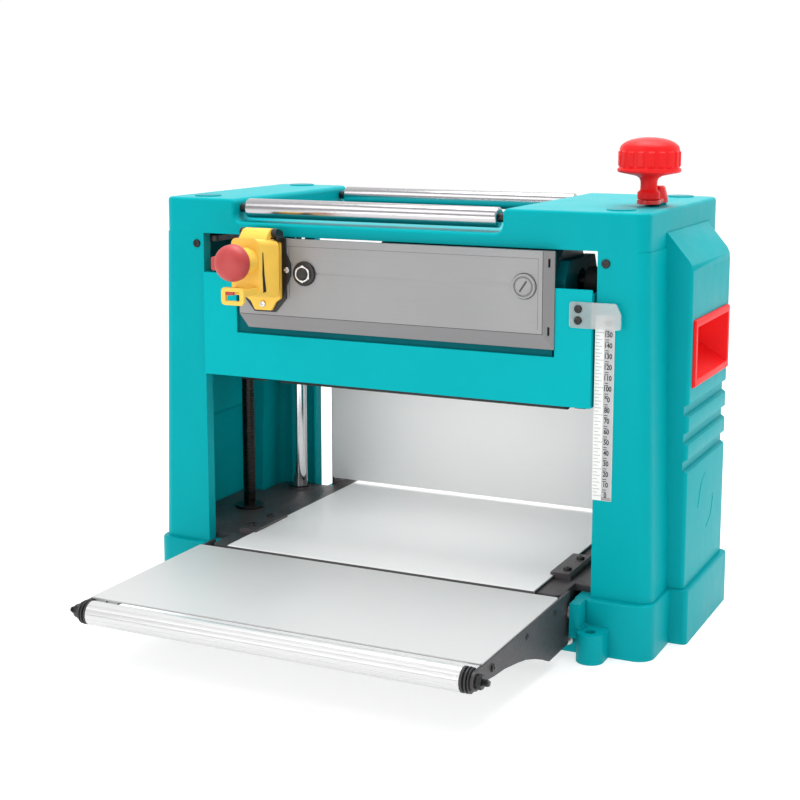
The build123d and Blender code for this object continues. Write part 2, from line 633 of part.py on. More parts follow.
export_step(crank_knob.part, "parts/crank_knob.step")

# ================================================================== carriage
with BuildPart() as head_casting:
    for s in (1, -1):
        # end plate
        with BuildSketch(Plane.YZ.offset(s * 168)):
            with BuildLine():
                Polyline((-118, 244), (-90, 236), (-72, 236), (-72, 230), (72, 230), (72, 236), (106, 236), (106, 332),
                         (-34, 332), (-118, 332), close=True) if s < 0 else \
                    Polyline((-118, 244), (-90, 236), (-72, 236), (-72, 230), (72, 230), (72, 236), (106, 236), (106, 332),
                             (-18, 332), (-34, 366), (-108, 366), (-118, 350), close=True)
            make_face()
            with Locations((0, CUT_Z)):
                Circle(26)
            with Locations((-FEED_Y, FEED_Z), (FEED_Y, FEED_Z)):
                Circle(14)
        extrude(amount=s * 10)
        # guide bosses with their arms
        with BuildSketch(Plane.XY.offset(262)):
            with Locations((s * FPOST_X, FPOST_Y)):
                Circle(14.5)
            with Locations((s * POST_X, POST_Y)):
                Circle(16)
        extrude(amount=64)
        with BuildSketch(Plane.XY.offset(268)):
            with Locations((s * 205, FPOST_Y)):
                Rectangle(56, 16)
            with Locations((s * 193, POST_Y)):
                Rectangle(34, 16)
        extrude(amount=52)
        # lifting nut boss
        with BuildSketch(Plane.XY.offset(300)):
            with Locations((s * SCREW_X, SCREW_Y)):
                Circle(17)
        extrude(amount=28)
        with BuildSketch(Plane.XY.offset(304)):
            with Locations((s * 198, -1)):
                Rectangle(44, 20)
        extrude(amount=18)
    # cross members
    with BuildSketch(Plane.YZ.offset(-169)):
        with BuildLine():
            Polyline((-126, 241), (-113, 241), (-113, 279), (-104, 288), (84, 288), (84, 240), (104, 240), (104, 330),
                     (92, 330), (84, 296), (-110, 296), (-118, 300), (-118, 374), (-126, 374), close=True)
        make_face()
    extrude(amount=338)
    # bores
    with BuildSketch(Plane.XY.offset(250)):
        with Locations(*POSTS):
            Circle(12)
        with Locations((SCREW_X, SCREW_Y), (-SCREW_X, SCREW_Y)):
            Circle(12)
    extrude(amount=90, mode=Mode.SUBTRACT)
    with BuildSketch(Plane.YZ.offset(168)):
        with Locations((0, CUT_Z)):
            Circle(17.5)
        with Locations((-FEED_Y, FEED_Z), (FEED_Y, FEED_Z)):
            Circle(7.05)
        with Locations((MOT_Y, MOT_Z)):
            Circle(12)
    extrude(amount=10, mode=Mode.SUBTRACT)
    with BuildSketch(Plane.YZ.offset(-178)):
        with Locations((0, CUT_Z)):
            Circle(17.5)
        with Locations((-FEED_Y, FEED_Z), (FEED_Y, FEED_Z)):
            Circle(7.05)
    extrude(amount=10, mode=Mode.SUBTRACT)
    # openings in the front plate
    with BuildSketch(Plane.XZ.offset(126)):
        with Locations((143.4, 343.8)):
            Circle(9.5)
        with Locations((RES_X, RES_Z)):
            Circle(9)
        with Locations((SW_X, 345)):
            Rectangle(30, 52)
    extrude(amount=-12, mode=Mode.SUBTRACT)
    # chip outlet and cable entry at the rear
    with BuildSketch(Plane.XZ.offset(-104)):
        with Locations((0, 266)):
            Rectangle(220, 30)
        with Locations((120, 313)):
            Circle(6)
    extrude(amount=24, mode=Mode.SUBTRACT)
head_casting.part.label = "head_casting"
export_step(head_casting.part, "parts/head_casting.step")

with BuildPart() as head_apron:
    with BuildSketch(Plane.XZ.offset(126)):
        with BuildLine():
            Polyline((-APRON_HW, APRON_Z0), (APRON_HW, APRON_Z0), (APRON_HW, 343), (171.8, 343), (171.8, 279),
                     (-168.4, 279), (-168.4, 338.7), (-APRON_HW, 338.7), close=True)
        make_face()
    extrude(amount=3)
    for s in (1, -1):
        with BuildSketch(Plane.XY.offset(APRON_Z0)):
            with Locations((s * (APRON_HW - 1.5), -119.5)):
                Rectangle(3, 19)
        extrude(amount=105.2)
    with BuildSketch(Plane.XY.offset(APRON_Z0)):
        with Locations((0, -120)):
            Rectangle(2 * APRON_HW, 18)
    extrude(amount=3)
    with BuildSketch(Plane.XY.offset(276)):
        with Locations((0, -127.5)):
            Rectangle(340, 3)
    extrude(amount=3)
head_apron.part.label = "head_apron"
export_step(head_apron.part, "parts/head_apron.step")

with BuildPart() as front_panel:
    with BuildSketch(Plane.XZ.offset(128.5)):
        with BuildLine():
            Polyline((-153.5, 286), (172, 286), (172, 377), (-162, 377), (-162, 299.5), close=True)
        make_face()
    extrude(amount=-PANEL_Y - 128.5)
    # sloping border along the lower and the right edge
    with BuildSketch(Plane.YZ.offset(-165)):
        with BuildLine():
            Polyline((PANEL_Y - 2, 300), (PANEL_Y, 300), (-130.3, 285.5), (-130.3, 284), (PANEL_Y - 2, 284), close=True)
        make_face()
    extrude(amount=340, mode=Mode.SUBTRACT)
    with BuildSketch(Plane.XY.offset(280)):
        with BuildLine():
            Polyline((161.5, PANEL_Y - 2), (161.5, PANEL_Y), (172.5, -130.3), (174, -130.3), (174, PANEL_Y - 2), close=True)
        make_face()
    extrude(amount=100, mode=Mode.SUBTRACT)
    # hollow behind the face
    with BuildSketch(Plane.XZ.offset(128)):
        with Locations((1, 338.5)):
            RectangleRounded(314, 67, 3)
    extrude(amount=3.5, mode=Mode.SUBTRACT)
    # folded edges, standing on the carriage front plate
    with BuildSketch(Plane.XZ.offset(126)):
        with BuildLine():
            Polyline((-153.5, 286), (168.9, 286), (168.9, 373.9), (-162, 373.9), (-162, 299.5), close=True)
        make_face()
        with BuildLine():
            Polyline((-151.8, 288), (166.9, 288), (166.9, 371.9), (-160, 371.9), (-160, 300.2), close=True)
        make_face(mode=Mode.SUBTRACT)
    extrude(amount=3)
    with BuildSketch(Plane.XZ.offset(120)):
        with Locations((143.4, 343.8)):
            Circle(9.5)
        with Locations((RES_X, RES_Z)):
            Circle(6.4)
        with Locations((SW_X, 345)):
            Rectangle(26, 48)
        with Locations((167, 366), (167, 303)):
            Rectangle(2, 8)
    extrude(amount=20, mode=Mode.SUBTRACT)
front_panel.part.label = "front_panel"
export_step(front_panel.part, "parts/front_panel.step")

with BuildPart() as chip_deflector:
    with BuildSketch(Plane.YZ.offset(-130)):
        with BuildLine():
            Polyline((104, 298), (114.5, 290), (114.5, 240), (106, 236.5), (106, 238.2), (113, 241), (113, 289.2), (104, 296), close=True)
        make_face()
    extrude(amount=260)
    for x in (-130, 128.5):
        with BuildSketch(Plane.YZ.offset(x)):
            with BuildLine():
                Polyline((104, 298), (114.5, 290), (114.5, 240), (106, 236.5), (104, 240), close=True)
            make_face()
        extrude(amount=1.5)
chip_deflector.part.label = "chip_deflector"
export_step(chip_deflector.part, "parts/chip_deflector.step")

with BuildPart() as lead_nuts:
    for s in (1, -1):
        with BuildSketch(Plane.XZ.offset(-SCREW_Y)):
            with BuildLine():
                Polyline((s * SCREW_X + 7.1, 294), (s * SCREW_X + 16, 294), (s * SCREW_X + 16, 300),
                         (s * SCREW_X + 12, 300), (s * SCREW_X + 12, 330), (s * SCREW_X + 7.1, 330), close=True)
            make_face()
        revolve(axis=Axis((s * SCREW_X, SCREW_Y, 0), (0, 0, 1)))
lead_nuts.part.label = "lead_nuts"
export_step(lead_nuts.part, "parts/lead_nuts.step")

with BuildPart() as guide_bushes:
    with BuildSketch(Plane.XY.offset(260)):
        with Locations(*POSTS):
            Circle(12)
            Circle(POST_R + 0.05, mode=Mode.SUBTRACT)
    extrude(amount=68)
guide_bushes.part.label = "guide_bushes"
export_step(guide_bushes.part, "parts/guide_bushes.step")

with BuildPart() as motor_housing:
    with BuildSketch(Plane.YZ.offset(-20)):
        with Locations((MOT_Y, MOT_Z)):
            Circle(MOT_R)
    extrude(amount=188)
    with BuildSketch(Plane.YZ.offset(-14)):
        with Locations((MOT_Y, MOT_Z)):
            Circle(MOT_R - 4)
    extrude(amount=176, mode=Mode.SUBTRACT)
    # bearing seat at each end and the opening for the pulley shaft
    with BuildSketch(Plane.YZ.offset(-30)):
        with Locations((MOT_Y, MOT_Z)):
            Circle(13)
            Circle(6.05, mode=Mode.SUBTRACT)
    extrude(amount=16)
    with BuildSketch(Plane.YZ.offset(158)):
        with Locations((MOT_Y, MOT_Z)):
            Circle(11.9)
    extrude(amount=10)
    with BuildSketch(Plane.YZ.offset(-31)):
        with Locations((MOT_Y, MOT_Z)):
            Circle(6.05)
    extrude(amount=220, mode=Mode.SUBTRACT)
    # opening where the brush cap screws in
    with BuildSketch(Plane.XZ.offset(118)):
        with Locations((143.4, 343.8)):
            Circle(9)
    extrude(amount=-14, mode=Mode.SUBTRACT)
    # foot on the carriage deck
    with BuildSketch(Plane.XY.offset(296)):
        with Locations((70, MOT_Y)):
            Rectangle(120, 36)
            Rectangle(60, 40, mode=Mode.SUBTRACT)
    extrude(amount=14)
    with BuildSketch(Plane.YZ.offset(-14)):
        with Locations((MOT_Y, MOT_Z)):
            Circle(MOT_R - 4)
    extrude(amount=172, mode=Mode.SUBTRACT)
motor_housing.part.label = "motor_housing"
export_step(motor_housing.part, "parts/motor_housing.step")

with BuildPart() as brush_cap:
    with BuildSketch(Plane.XZ.offset(133.5)):
        with Locations((143.4, 343.8)):
            Circle(11.5)
    extrude(amount=3)
    with BuildSketch(Plane.XZ.offset(133.5)):
        with Locations((143.4, 343.8)):
            Circle(9)
    extrude(amount=-25)
    with BuildSketch(Plane.XZ.offset(134.9)):
        with Locations((143.4, 343.8)):
            Rectangle(17, 2.6)
    extrude(amount=3, mode=Mode.SUBTRACT)
brush_cap.part.label = "brush_cap"
export_step(brush_cap.part, "parts/brush_cap.step")

with BuildPart() as pointer_bracket:
    with BuildSketch(Plane.XZ.offset(129)):
        with BuildLine():
            Polyline((186.5, 308), (235.5, 308), (235.5, 322), (230.5, 332), (186.5, 332), close=True)
        make_face()
        fillet(vertices(), radius=3)
        with Locations((195, 325.5), (195, 315)):
            Circle(1.8, mode=Mode.SUBTRACT)
    extrude(amount=2)
pointer_bracket.part.label = "pointer_bracket"
export_step(pointer_bracket.part, "parts/pointer_bracket.step")

with BuildPart() as head_fasteners:
    # screws of the pointer bracket
    with BuildSketch(Plane.XZ.offset(131)):
        with Locations((195, 325.5), (195, 315)):
            Circle(3.8)
    extrude(amount=2)
    with BuildSketch(Plane.XZ.offset(129)):
        with Locations((195, 325.5), (195, 315)):
            Circle(1.8)
    extrude(amount=2)
    # screw of the switch
    with BuildSketch(Plane.XZ.offset(139)):
        with Locations((EAR_X, EAR_Z)):
            Circle(3.4)
    extrude(amount=2)
    # nut of the reset button
    with BuildSketch(Plane.XZ.offset(133.5)):
        with Locations((RES_X, RES_Z)):
            Circle(12.2)
            Circle(6.4, mode=Mode.SUBTRACT)
    extrude(amount=3)
    with BuildSketch(Plane.XZ.offset(136.5)):
        with Locations((RES_X, RES_Z)):
            RegularPolygon(8.8, 6)
            Circle(6.4, mode=Mode.SUBTRACT)
    extrude(amount=2.6)
    # screw of the switch frame
    with BuildSketch(Plane.XZ.offset(135.5)):
        with Locations((-106, 346.3)):
            Circle(3.2)
    extrude(amount=1.6)
    # screws of the gearbox cover
    with BuildSketch(Plane.YZ.offset(-204)):
        with Locations((-62, 290), (62, 290), (-62, 224), (62, 224)):
            Circle(3)
    extrude(amount=-1.6)
head_fasteners.part.label = "head_fasteners"
export_step(head_fasteners.part, "parts/head_fasteners.step")

with BuildPart() as gearbox_cover:
    with BuildSketch(Plane.YZ.offset(-204)):
        with Locations((0, 256)):
            RectangleRounded(142, 80, 14)
    extrude(amount=26)
    with BuildSketch(Plane.YZ.offset(-201.5)):
        with Locations((0, 256)):
            RectangleRounded(137, 75, 12)
    extrude(amount=30, mode=Mode.SUBTRACT)
gearbox_cover.part.label = "gearbox_cover"
export_step(gearbox_cover.part, "parts/gearbox_cover.step")

with BuildPart() as drive_belt:
    with BuildSketch(Plane.YZ.offset(185)):
        with Locations((0, CUT_Z)):
            Circle(25.3)
        with Locations((MOT_Y, MOT_Z)):
            Circle(14.3)
        make_hull()
    extrude(amount=12)
    with BuildSketch(Plane.YZ.offset(184)):
        with Locations((0, CUT_Z)):
            Circle(22.3)
        with Locations((MOT_Y, MOT_Z)):
            Circle(11.3)
        make_hull()
    extrude(amount=14, mode=Mode.SUBTRACT)
drive_belt.part.label = "drive_belt"
export_step(drive_belt.part, "parts/drive_belt.step")

with BuildPart() as cutterhead_bearings:
    with BuildSketch(Plane.YZ.offset(169)):
        with Locations((0, CUT_Z)):
            Circle(17.5)
            Circle(10.05, mode=Mode.SUBTRACT)
    extrude(amount=8.5)
    with BuildSketch(Plane.YZ.offset(-177.5)):
        with Locations((0, CUT_Z)):
            Circle(17.5)
            Circle(10.05, mode=Mode.SUBTRACT)
    extrude(amount=8.5)
cutterhead_bearings.part.label = "cutterhead_bearings"
export_step(cutterhead_bearings.part, "parts/cutterhead_bearings.step")

with BuildPart() as cable_gland:
    with BuildSketch(Plane.XZ.offset(-104)):
        with Locations((120, 313)):
            RegularPolygon(10.5, 6)
    extrude(amount=-4)
    with BuildSketch(Plane.XZ.offset(-108)):
        with Locations((120, 313)):
            Circle(8)
    extrude(amount=-6, taper=10)
    with BuildSketch(Plane.XZ.offset(-104)):
        with Locations((120, 313)):
            Circle(6)
    extrude(amount=12)
    with BuildSketch(Plane.XZ.offset(-120)):
        with Locations((120, 313)):
            Circle(3.6)
    extrude(amount=32, mode=Mode.SUBTRACT)
cable_gland.part.label = "cable_gland"
export_step(cable_gland.part, "parts/cable_gland.step")

# ------------------------------------------------------------------ switch
with BuildPart() as switch_backplate:
    with BuildSketch(Plane.XZ.offset(133.5)):
        with BuildLine():
            Polyline((-107, 378), (-107, 363), (-101.8, 352), (-101.8, 341), (-107, 329.5), (-107, 318), (-119.5, 303.5),
                     (-143.5, 303.5), (-156, 318), (-156, 329.5), (-161, 341), (-161, 352), (-156, 363), (-156, 378), close=True)
        make_face()
        fillet(vertices(), radius=1.5)
        with Locations((SW_X, 345)):
            Rectangle(26, 48, mode=Mode.SUBTRACT)
    extrude(amount=2)
    # hinge knuckles of the lid
    for x0, x1 in ((-152, -147.2), (-115.8, -110.6)):
        with BuildSketch(Plane.YZ.offset(x0)):
            with Locations((SW_HINGE_Y, SW_HINGE_Z)):
                Circle(4.6)
            with BuildLine():
                Polyline((SW_HINGE_Y, SW_HINGE_Z + 4.6), (-135.5, SW_HINGE_Z + 2), (-133.5, SW_HINGE_Z), (-133.5, 376), (-135.5, 375), (SW_HINGE_Y, 375), close=True)
            make_face()
        extrude(amount=x1 - x0)
    # hinge pin
    with BuildSketch(Plane.YZ.offset(-151)):
        with Locations((SW_HINGE_Y, SW_HINGE_Z)):
            Circle(2)
    extrude(amount=39)
switch_backplate.part.label = "switch_backplate"
export_step(switch_backplate.part, "parts/switch_backplate.step")

with BuildPart() as switch_base:
    with BuildSketch(Plane.XZ.offset(135.5)):
        with BuildLine():
            Polyline((-111.5, 374), (-111.5, 318), (-117.5, 314), (-122, 305.5), (-141, 305.5), (-145.5, 314), (-151.5, 318), (-151.5, 374), close=True)
        make_face()
        fillet(vertices(), radius=2)
    extrude(amount=3.5)
    with BuildSketch(Plane.XZ.offset(135.5)):
        with Locations((SW_X, 347.5)):
            RectangleRounded(34, 57, 3)
    extrude(amount=9.5)
    # body behind the panel
    with BuildSketch(Plane.XZ.offset(118)):
        with Locations((SW_X, 345)):
            Rectangle(25, 47)
    extrude(amount=18)
    # wells of the two push buttons
    with BuildSketch(Plane.XZ.offset(125)):
        with Locations((SW_X, STOP_Z), (SW_X, START_Z)):
            Circle(8.3)
    extrude(amount=30, mode=Mode.SUBTRACT)
    # tapped hole of the ear screw
    with BuildSketch(Plane.XZ.offset(137)):
        with Locations((EAR_X, EAR_Z)):
            Circle(1)
    extrude(amount=3, mode=Mode.SUBTRACT)
switch_base.part.label = "switch_base"
export_step(switch_base.part, "parts/switch_base.step")

with BuildPart() as switch_lid:
    with BuildSketch(Plane.XZ.offset(145.6)):
        with Locations((SW_X, 348)):
            RectangleRounded(45, 57, 6)
    with BuildSketch(Plane.XZ.offset(168.5)):
        with Locations((-133.5, 351.5)):
            RectangleRounded(31, 56, 6)
    loft()
    with BuildSketch(Plane.XZ.offset(145)):
        with Locations((SW_X, 348)):
            RectangleRounded(41, 53, 4)
    with BuildSketch(Plane.XZ.offset(166.3)):
        with Locations((-133.5, 351.3)):
            RectangleRounded(27, 52, 4)
    loft(mode=Mode.SUBTRACT)
    # collar under the stop mushroom
    with BuildSketch(Plane.XZ.offset(166.4)):
        with Locations((SW_X, MUSH_Z)):
            Circle(13)
    extrude(amount=17.6, taper=8)
    with BuildSketch(Plane.XZ.offset(160)):
        with Locations((SW_X, MUSH_Z)):
            Circle(6.35)
    extrude(amount=30, mode=Mode.SUBTRACT)
    # padlock loop
    for x in (-143.25, -121.75):
        with BuildSketch(Plane.XZ.offset(167)):
            with Locations((x, 328.5)):
                Rectangle(3.5, 7)
        extrude(amount=27)
    with BuildSketch(Plane.XZ.offset(191)):
        with Locations((-132.5, 325.5)):
            RectangleRounded(25, 17, 4)
            Rectangle(16, 9, mode=Mode.SUBTRACT)
    extrude(amount=3.5)
    # hinge eye
    with BuildSketch(Plane.YZ.offset(-146.7)):
        with Locations((SW_HINGE_Y, SW_HINGE_Z)):
            Circle(4.6)
        with BuildLine():
            Polyline((SW_HINGE_Y, SW_HINGE_Z + 4.6), (-150, 386.5), (-156, 380.5), (-158, 376), (-150, 376), (SW_HINGE_Y - 3, SW_HINGE_Z - 3.4), close=True)
        make_face()
        with Locations((SW_HINGE_Y, SW_HINGE_Z)):
            Circle(2.06, mode=Mode.SUBTRACT)
    extrude(amount=30.4)
switch_lid.part.label = "switch_lid"
export_step(switch_lid.part, "parts/switch_lid.step")

with BuildPart() as stop_mushroom:
    with BuildSketch(Plane.YZ.offset(SW_X)):
        with BuildLine():
            Polyline((-152.8, MUSH_Z), (-152.8, MUSH_Z + 6), (-188.4, MUSH_Z + 6), (-189.5, MUSH_Z + 16), (-191.5, MUSH_Z + 18),
                     (-199, MUSH_Z + 18), (-204, MUSH_Z + 15.5), (-206.8, MUSH_Z + 9), (-207.5, MUSH_Z), close=True)
        make_face()
    revolve(axis=Axis((SW_X, 0, MUSH_Z), (0, 1, 0)))
    # turning tab at the side
    with BuildSketch(Plane.XZ.offset(192.5)):
        with Locations((SW_X - 18, MUSH_Z - 1)):
            RectangleRounded(8, 13, 2)
    extrude(amount=6)
    # retaining ring behind the lid face
    with BuildSketch(Plane.XZ.offset(157)):
        with Locations((SW_X, MUSH_Z)):
            Circle(8)
    extrude(amount=2)
stop_mushroom.part.label = "stop_mushroom"
export_step(stop_mushroom.part, "parts/stop_mushroom.step")

with BuildPart() as start_button:
    with BuildSketch(Plane.XZ.offset(130)):
        with Locations((SW_X, START_Z)):
            Circle(8)
    extrude(amount=21)
    fillet(start_button.faces().sort_by(Axis.Y)[0].edges(), radius=1.2)
start_button.part.label = "start_button"
export_step(start_button.part, "parts/start_button.step")

with BuildPart() as stop_button:
    with BuildSketch(Plane.XZ.offset(130)):
        with Locations((SW_X, STOP_Z)):
            Circle(8)
    extrude(amount=22)
    fillet(stop_button.faces().sort_by(Axis.Y)[0].edges(), radius=1.2)
stop_button.part.label = "stop_button"
export_step(stop_button.part, "parts/stop_button.step")

with BuildPart() as reset_button:
    with BuildSketch(Plane.XZ.offset(122)):
        with Locations((RES_X, RES_Z)):
            Circle(5.9)
    extrude(amount=19)
    fillet(reset_button.faces().sort_by(Axis.Y)[0].edges(), radius=1)
reset_button.part.label = "reset_button"
export_step(reset_button.part, "parts/reset_button.step")

# ------------------------------------------------------------------ cutting unit
with BuildPart() as cutterhead:
    with BuildSketch(Plane.YZ.offset(-166)):
        with Locations((0, CUT_Z)):
            Circle(23.5)
    extrude(amount=332)
    for s in (1, -1):
        with BuildSketch(Plane.YZ.offset(-167)):
            with Locations((0, CUT_Z + s * 19.5)):
                Rectangle(12, 15)
        extrude(amount=334, mode=Mode.SUBTRACT)
    with BuildSketch(Plane.YZ.offset(-180)):
        with Locations((0, CUT_Z)):
            Circle(10)
    extrude(amount=379)
cutterhead.part.label = "cutterhead"
export_step(cutterhead.part, "parts/cutterhead.step")

with BuildPart() as cutter_knives:
    for s in (1, -1):
        with BuildSketch(Plane.YZ.offset(-165)):
            with BuildLine():
                Polyline((-6 * s, CUT_Z + 12 * s), (-3 * s, CUT_Z + 12 * s), (-3 * s, CUT_Z + 22.5 * s),
                         (-5.6 * s, CUT_Z + 24.3 * s), (-6 * s, CUT_Z + 24.3 * s), close=True)
            make_face()
        extrude(amount=330)
cutter_knives.part.label = "cutter_knives"
export_step(cutter_knives.part, "parts/cutter_knives.step")

with BuildPart() as knife_clamps:
    for s in (1, -1):
        with BuildSketch(Plane.YZ.offset(-165)):
            with BuildLine():
                Polyline((-3 * s, CUT_Z + 12 * s), (6 * s, CUT_Z + 12 * s), (6 * s, CUT_Z + 21.5 * s),
                         (-3 * s, CUT_Z + 20.5 * s), close=True)
            make_face()
        extrude(amount=330)
knife_clamps.part.label = "knife_clamps"
export_step(knife_clamps.part, "parts/knife_clamps.step")

with BuildPart() as cutterhead_pulley:
    with BuildSketch(Plane.YZ.offset(184)):
        with Locations((0, CUT_Z)):
            Circle(22)
            Circle(10, mode=Mode.SUBTRACT)
    extrude(amount=14)
cutterhead_pulley.part.label = "cutterhead_pulley"
export_step(cutterhead_pulley.part, "parts/cutterhead_pulley.step")

with BuildPart() as motor_armature:
    with BuildSketch(Plane.YZ.offset(-28)):
        with Locations((MOT_Y, MOT_Z)):
            Circle(6)
    extrude(amount=226)
    with BuildSketch(Plane.YZ.offset(10)):
        with Locations((MOT_Y, MOT_Z)):
            Circle(26)
    extrude(amount=110)
    with BuildSketch(Plane.YZ.offset(130)):
        with Locations((MOT_Y, MOT_Z)):
            Circle(16)
    extrude(amount=22)
    with BuildSketch(Plane.YZ.offset(184)):
        with Locations((MOT_Y, MOT_Z)):
            Circle(11)
    extrude(amount=14)
motor_armature.part.label = "motor_armature"
export_step(motor_armature.part, "parts/motor_armature.step")

with BuildPart() as infeed_feed_roller:
    with BuildSketch(Plane.YZ.offset(-160)):
        with Locations((-FEED_Y, FEED_Z)):
            Circle(FEED_R)
    extrude(amount=320)
    with BuildSketch(Plane.YZ.offset(-194)):
        with Locations((-FEED_Y, FEED_Z)):
            Circle(7)
    extrude(amount=371)
    with BuildSketch(Plane.YZ.offset(-192)):
        with Locations((-FEED_Y, FEED_Z)):
            Circle(11)
    extrude(amount=5)
infeed_feed_roller.part.label = "infeed_feed_roller"
export_step(infeed_feed_roller.part, "parts/infeed_feed_roller.step")

with BuildPart() as outfeed_feed_roller:
    with BuildSketch(Plane.YZ.offset(-160)):
        with Locations((FEED_Y, FEED_Z)):
            Circle(FEED_R)
    extrude(amount=320)
    with BuildSketch(Plane.YZ.offset(-194)):
        with Locations((FEED_Y, FEED_Z)):
            Circle(7)
    extrude(amount=371)
    with BuildSketch(Plane.YZ.offset(-192)):
        with Locations((FEED_Y, FEED_Z)):
            Circle(11)
    extrude(amount=5)
outfeed_feed_roller.part.label = "outfeed_feed_roller"
export_step(outfeed_feed_roller.part, "parts/outfeed_feed_roller.step")

# ================================================================== extension tables (drawn laid down in front)
with BuildPart() as infeed_sheet:
    with BuildSketch(Plane.XY.offset(TAB_Z - TAB_T)):
        with Locations((0, (TAB_Y0 + TAB_Y1) / 2)):
            Rectangle(2 * TAB_HW, TAB_Y0 - TAB_Y1)
    extrude(amount=TAB_T)
    fillet(infeed_sheet.edges().filter_by(Axis.Z), radius=3)
    for s in (1, -1):
        with BuildSketch(Plane.XY.offset(46)):
            with Locations((s * 191.25, (TAB_Y0 + TAB_Y1) / 2)):
                Rectangle(1.5, TAB_Y0 - TAB_Y1 - 8)
        extrude(amount=TAB_Z - TAB_T - 46)
    # holes for the rivets and screws
    with BuildSketch(Plane.YZ.offset(-195)):
        with Locations((-180, 53.0), (-249.7, 53.6), (-328.7, 53.5)):
            Circle(2)
    extrude(amount=390, mode=Mode.SUBTRACT)
infeed_sheet.part.label = "infeed_sheet"
export_step(infeed_sheet.part, "parts/infeed_sheet.step")

with BuildPart() as infeed_brackets:
    for s in (1, -1):
        with BuildSketch(Plane.YZ.offset(s * 192)):
            with BuildLine():
                Polyline((-139.2, 61.8), (-356, 61.8), (-361.5, 62.0), (-366, 60.6), (-369.2, 57), (-370, 53.5), (-369.2, 50),
                         (-366, 46.4), (-361.5, 45), (-350, 46.6), (-338.5, 46.6), (-323, 44.6), (-301, 42.8), (-271, 37.6),
                         (-252, 33.6), (-230, 26.8), (-206.5, 17.9), (-193.3, 11.9), (-190, 11.4), (-142, 11.4), (-139.2, 14), close=True)
            make_face()
            with Locations((-HINGE_Y, HINGE_Z)):
                Circle(HINGE_R + 0.05, mode=Mode.SUBTRACT)
            with Locations((-180, 53.0), (-249.7, 53.6), (-328.7, 53.5)):
                Circle(2, mode=Mode.SUBTRACT)
            with Locations((ER_Y, ER_Z)):
                Circle(3, mode=Mode.SUBTRACT)
        extrude(amount=s * 3)
infeed_brackets.part.label = "infeed_brackets"
export_step(infeed_brackets.part, "parts/infeed_brackets.step")

with BuildPart() as infeed_fasteners:
    for s in (1, -1):
        # rivets and screw joining the sheet to its brackets
        with BuildSketch(Plane.YZ.offset(s * 190.5)):
            with Locations((-180, 53.0), (-249.7, 53.6), (-328.7, 53.5)):
                Circle(2)
        extrude(amount=s * 4.5)
        with BuildSketch(Plane.YZ.offset(s * 195)):
            with Locations((-180, 53.0), (-249.7, 53.6)):
                Circle(3.2)
            with Locations((-328.7, 53.5)):
                Circle(3.6)
        extrude(amount=s * 1.6)
        # bolt and nut at each end of the roller
        with BuildSketch(Plane.YZ.offset(s * 176)):
            with Locations((ER_Y, ER_Z)):
                Circle(3)
        extrude(amount=s * 30)
        with BuildSketch(Plane.YZ.offset(s * 195)):
            with Locations((ER_Y, ER_Z)):
                RegularPolygon(6.4, 6)
        extrude(amount=s * 5.5)
infeed_fasteners.part.label = "infeed_fasteners"
export_step(infeed_fasteners.part, "parts/infeed_fasteners.step")

with BuildPart() as infeed_roller:
    with BuildSketch(Plane.XY.offset(ER_Z)):
        with BuildLine():
            Polyline((-191.5, ER_Y + 3.05), (191.5, ER_Y + 3.05), (191.5, ER_Y + ER_R), (190, ER_Y + ER_R), (190, ER_Y + 8),
                     (188, ER_Y + 8), (188, ER_Y + ER_R), (-188, ER_Y + ER_R), (-188, ER_Y + 8), (-190, ER_Y + 8),
                     (-190, ER_Y + ER_R), (-191.5, ER_Y + ER_R), close=True)
        make_face()
    revolve(axis=Axis((0, ER_Y, ER_Z), (1, 0, 0)))
infeed_roller.part.label = "infeed_roller"
export_step(infeed_roller.part, "parts/infeed_roller.step")

# outfeed table: the same pieces mirrored to the rear and folded up about its own pivot
FOLD = Location((0, HINGE_Y, HINGE_Z)) * Location((0, 0, 0), (90, 0, 0)) * Location((0, -HINGE_Y, -HINGE_Z))

with BuildPart() as outfeed_sheet:
    add(FOLD * infeed_sheet.part.mirror(Plane.XZ))
outfeed_sheet.part.label = "outfeed_sheet"
export_step(outfeed_sheet.part, "parts/outfeed_sheet.step")

with BuildPart() as outfeed_brackets:
    add(FOLD * infeed_brackets.part.mirror(Plane.XZ))
outfeed_brackets.part.label = "outfeed_brackets"
export_step(outfeed_brackets.part, "parts/outfeed_brackets.step")

with BuildPart() as outfeed_fasteners:
    add(FOLD * infeed_fasteners.part.mirror(Plane.XZ))
outfeed_fasteners.part.label = "outfeed_fasteners"
export_step(outfeed_fasteners.part, "parts/outfeed_fasteners.step")

with BuildPart() as outfeed_roller:
    add(FOLD * infeed_roller.part.mirror(Plane.XZ))
outfeed_roller.part.label = "outfeed_roller"
export_step(outfeed_roller.part, "parts/outfeed_roller.step")

# ================================================================== return rollers on the top cover
with BuildPart() as return_roller_front:
    with BuildSketch(Plane.YZ.offset(RR_X0)):
        with Locations((-RR_Y, RR_Z)):
            Circle(RR_R)
    extrude(amount=RR_X1 - RR_X0)
    with BuildSketch(Plane.YZ.offset(NOTCH_X0 + 0.6)):
        with Locations((-RR_Y, RR_Z)):
            Circle(4.5)
    extrude(amount=NOTCH_X1 - NOTCH_X0 - 1.2)
    with BuildSketch(Plane.YZ.offset(NOTCH_X0 - 4)):
        with Locations((-RR_Y, RR_Z)):
            Circle(RR_PIN - 0.05)
    extrude(amount=NOTCH_X1 - NOTCH_X0 + 8)
return_roller_front.part.label = "return_roller_front"
export_step(return_roller_front.part, "parts/return_roller_front.step")

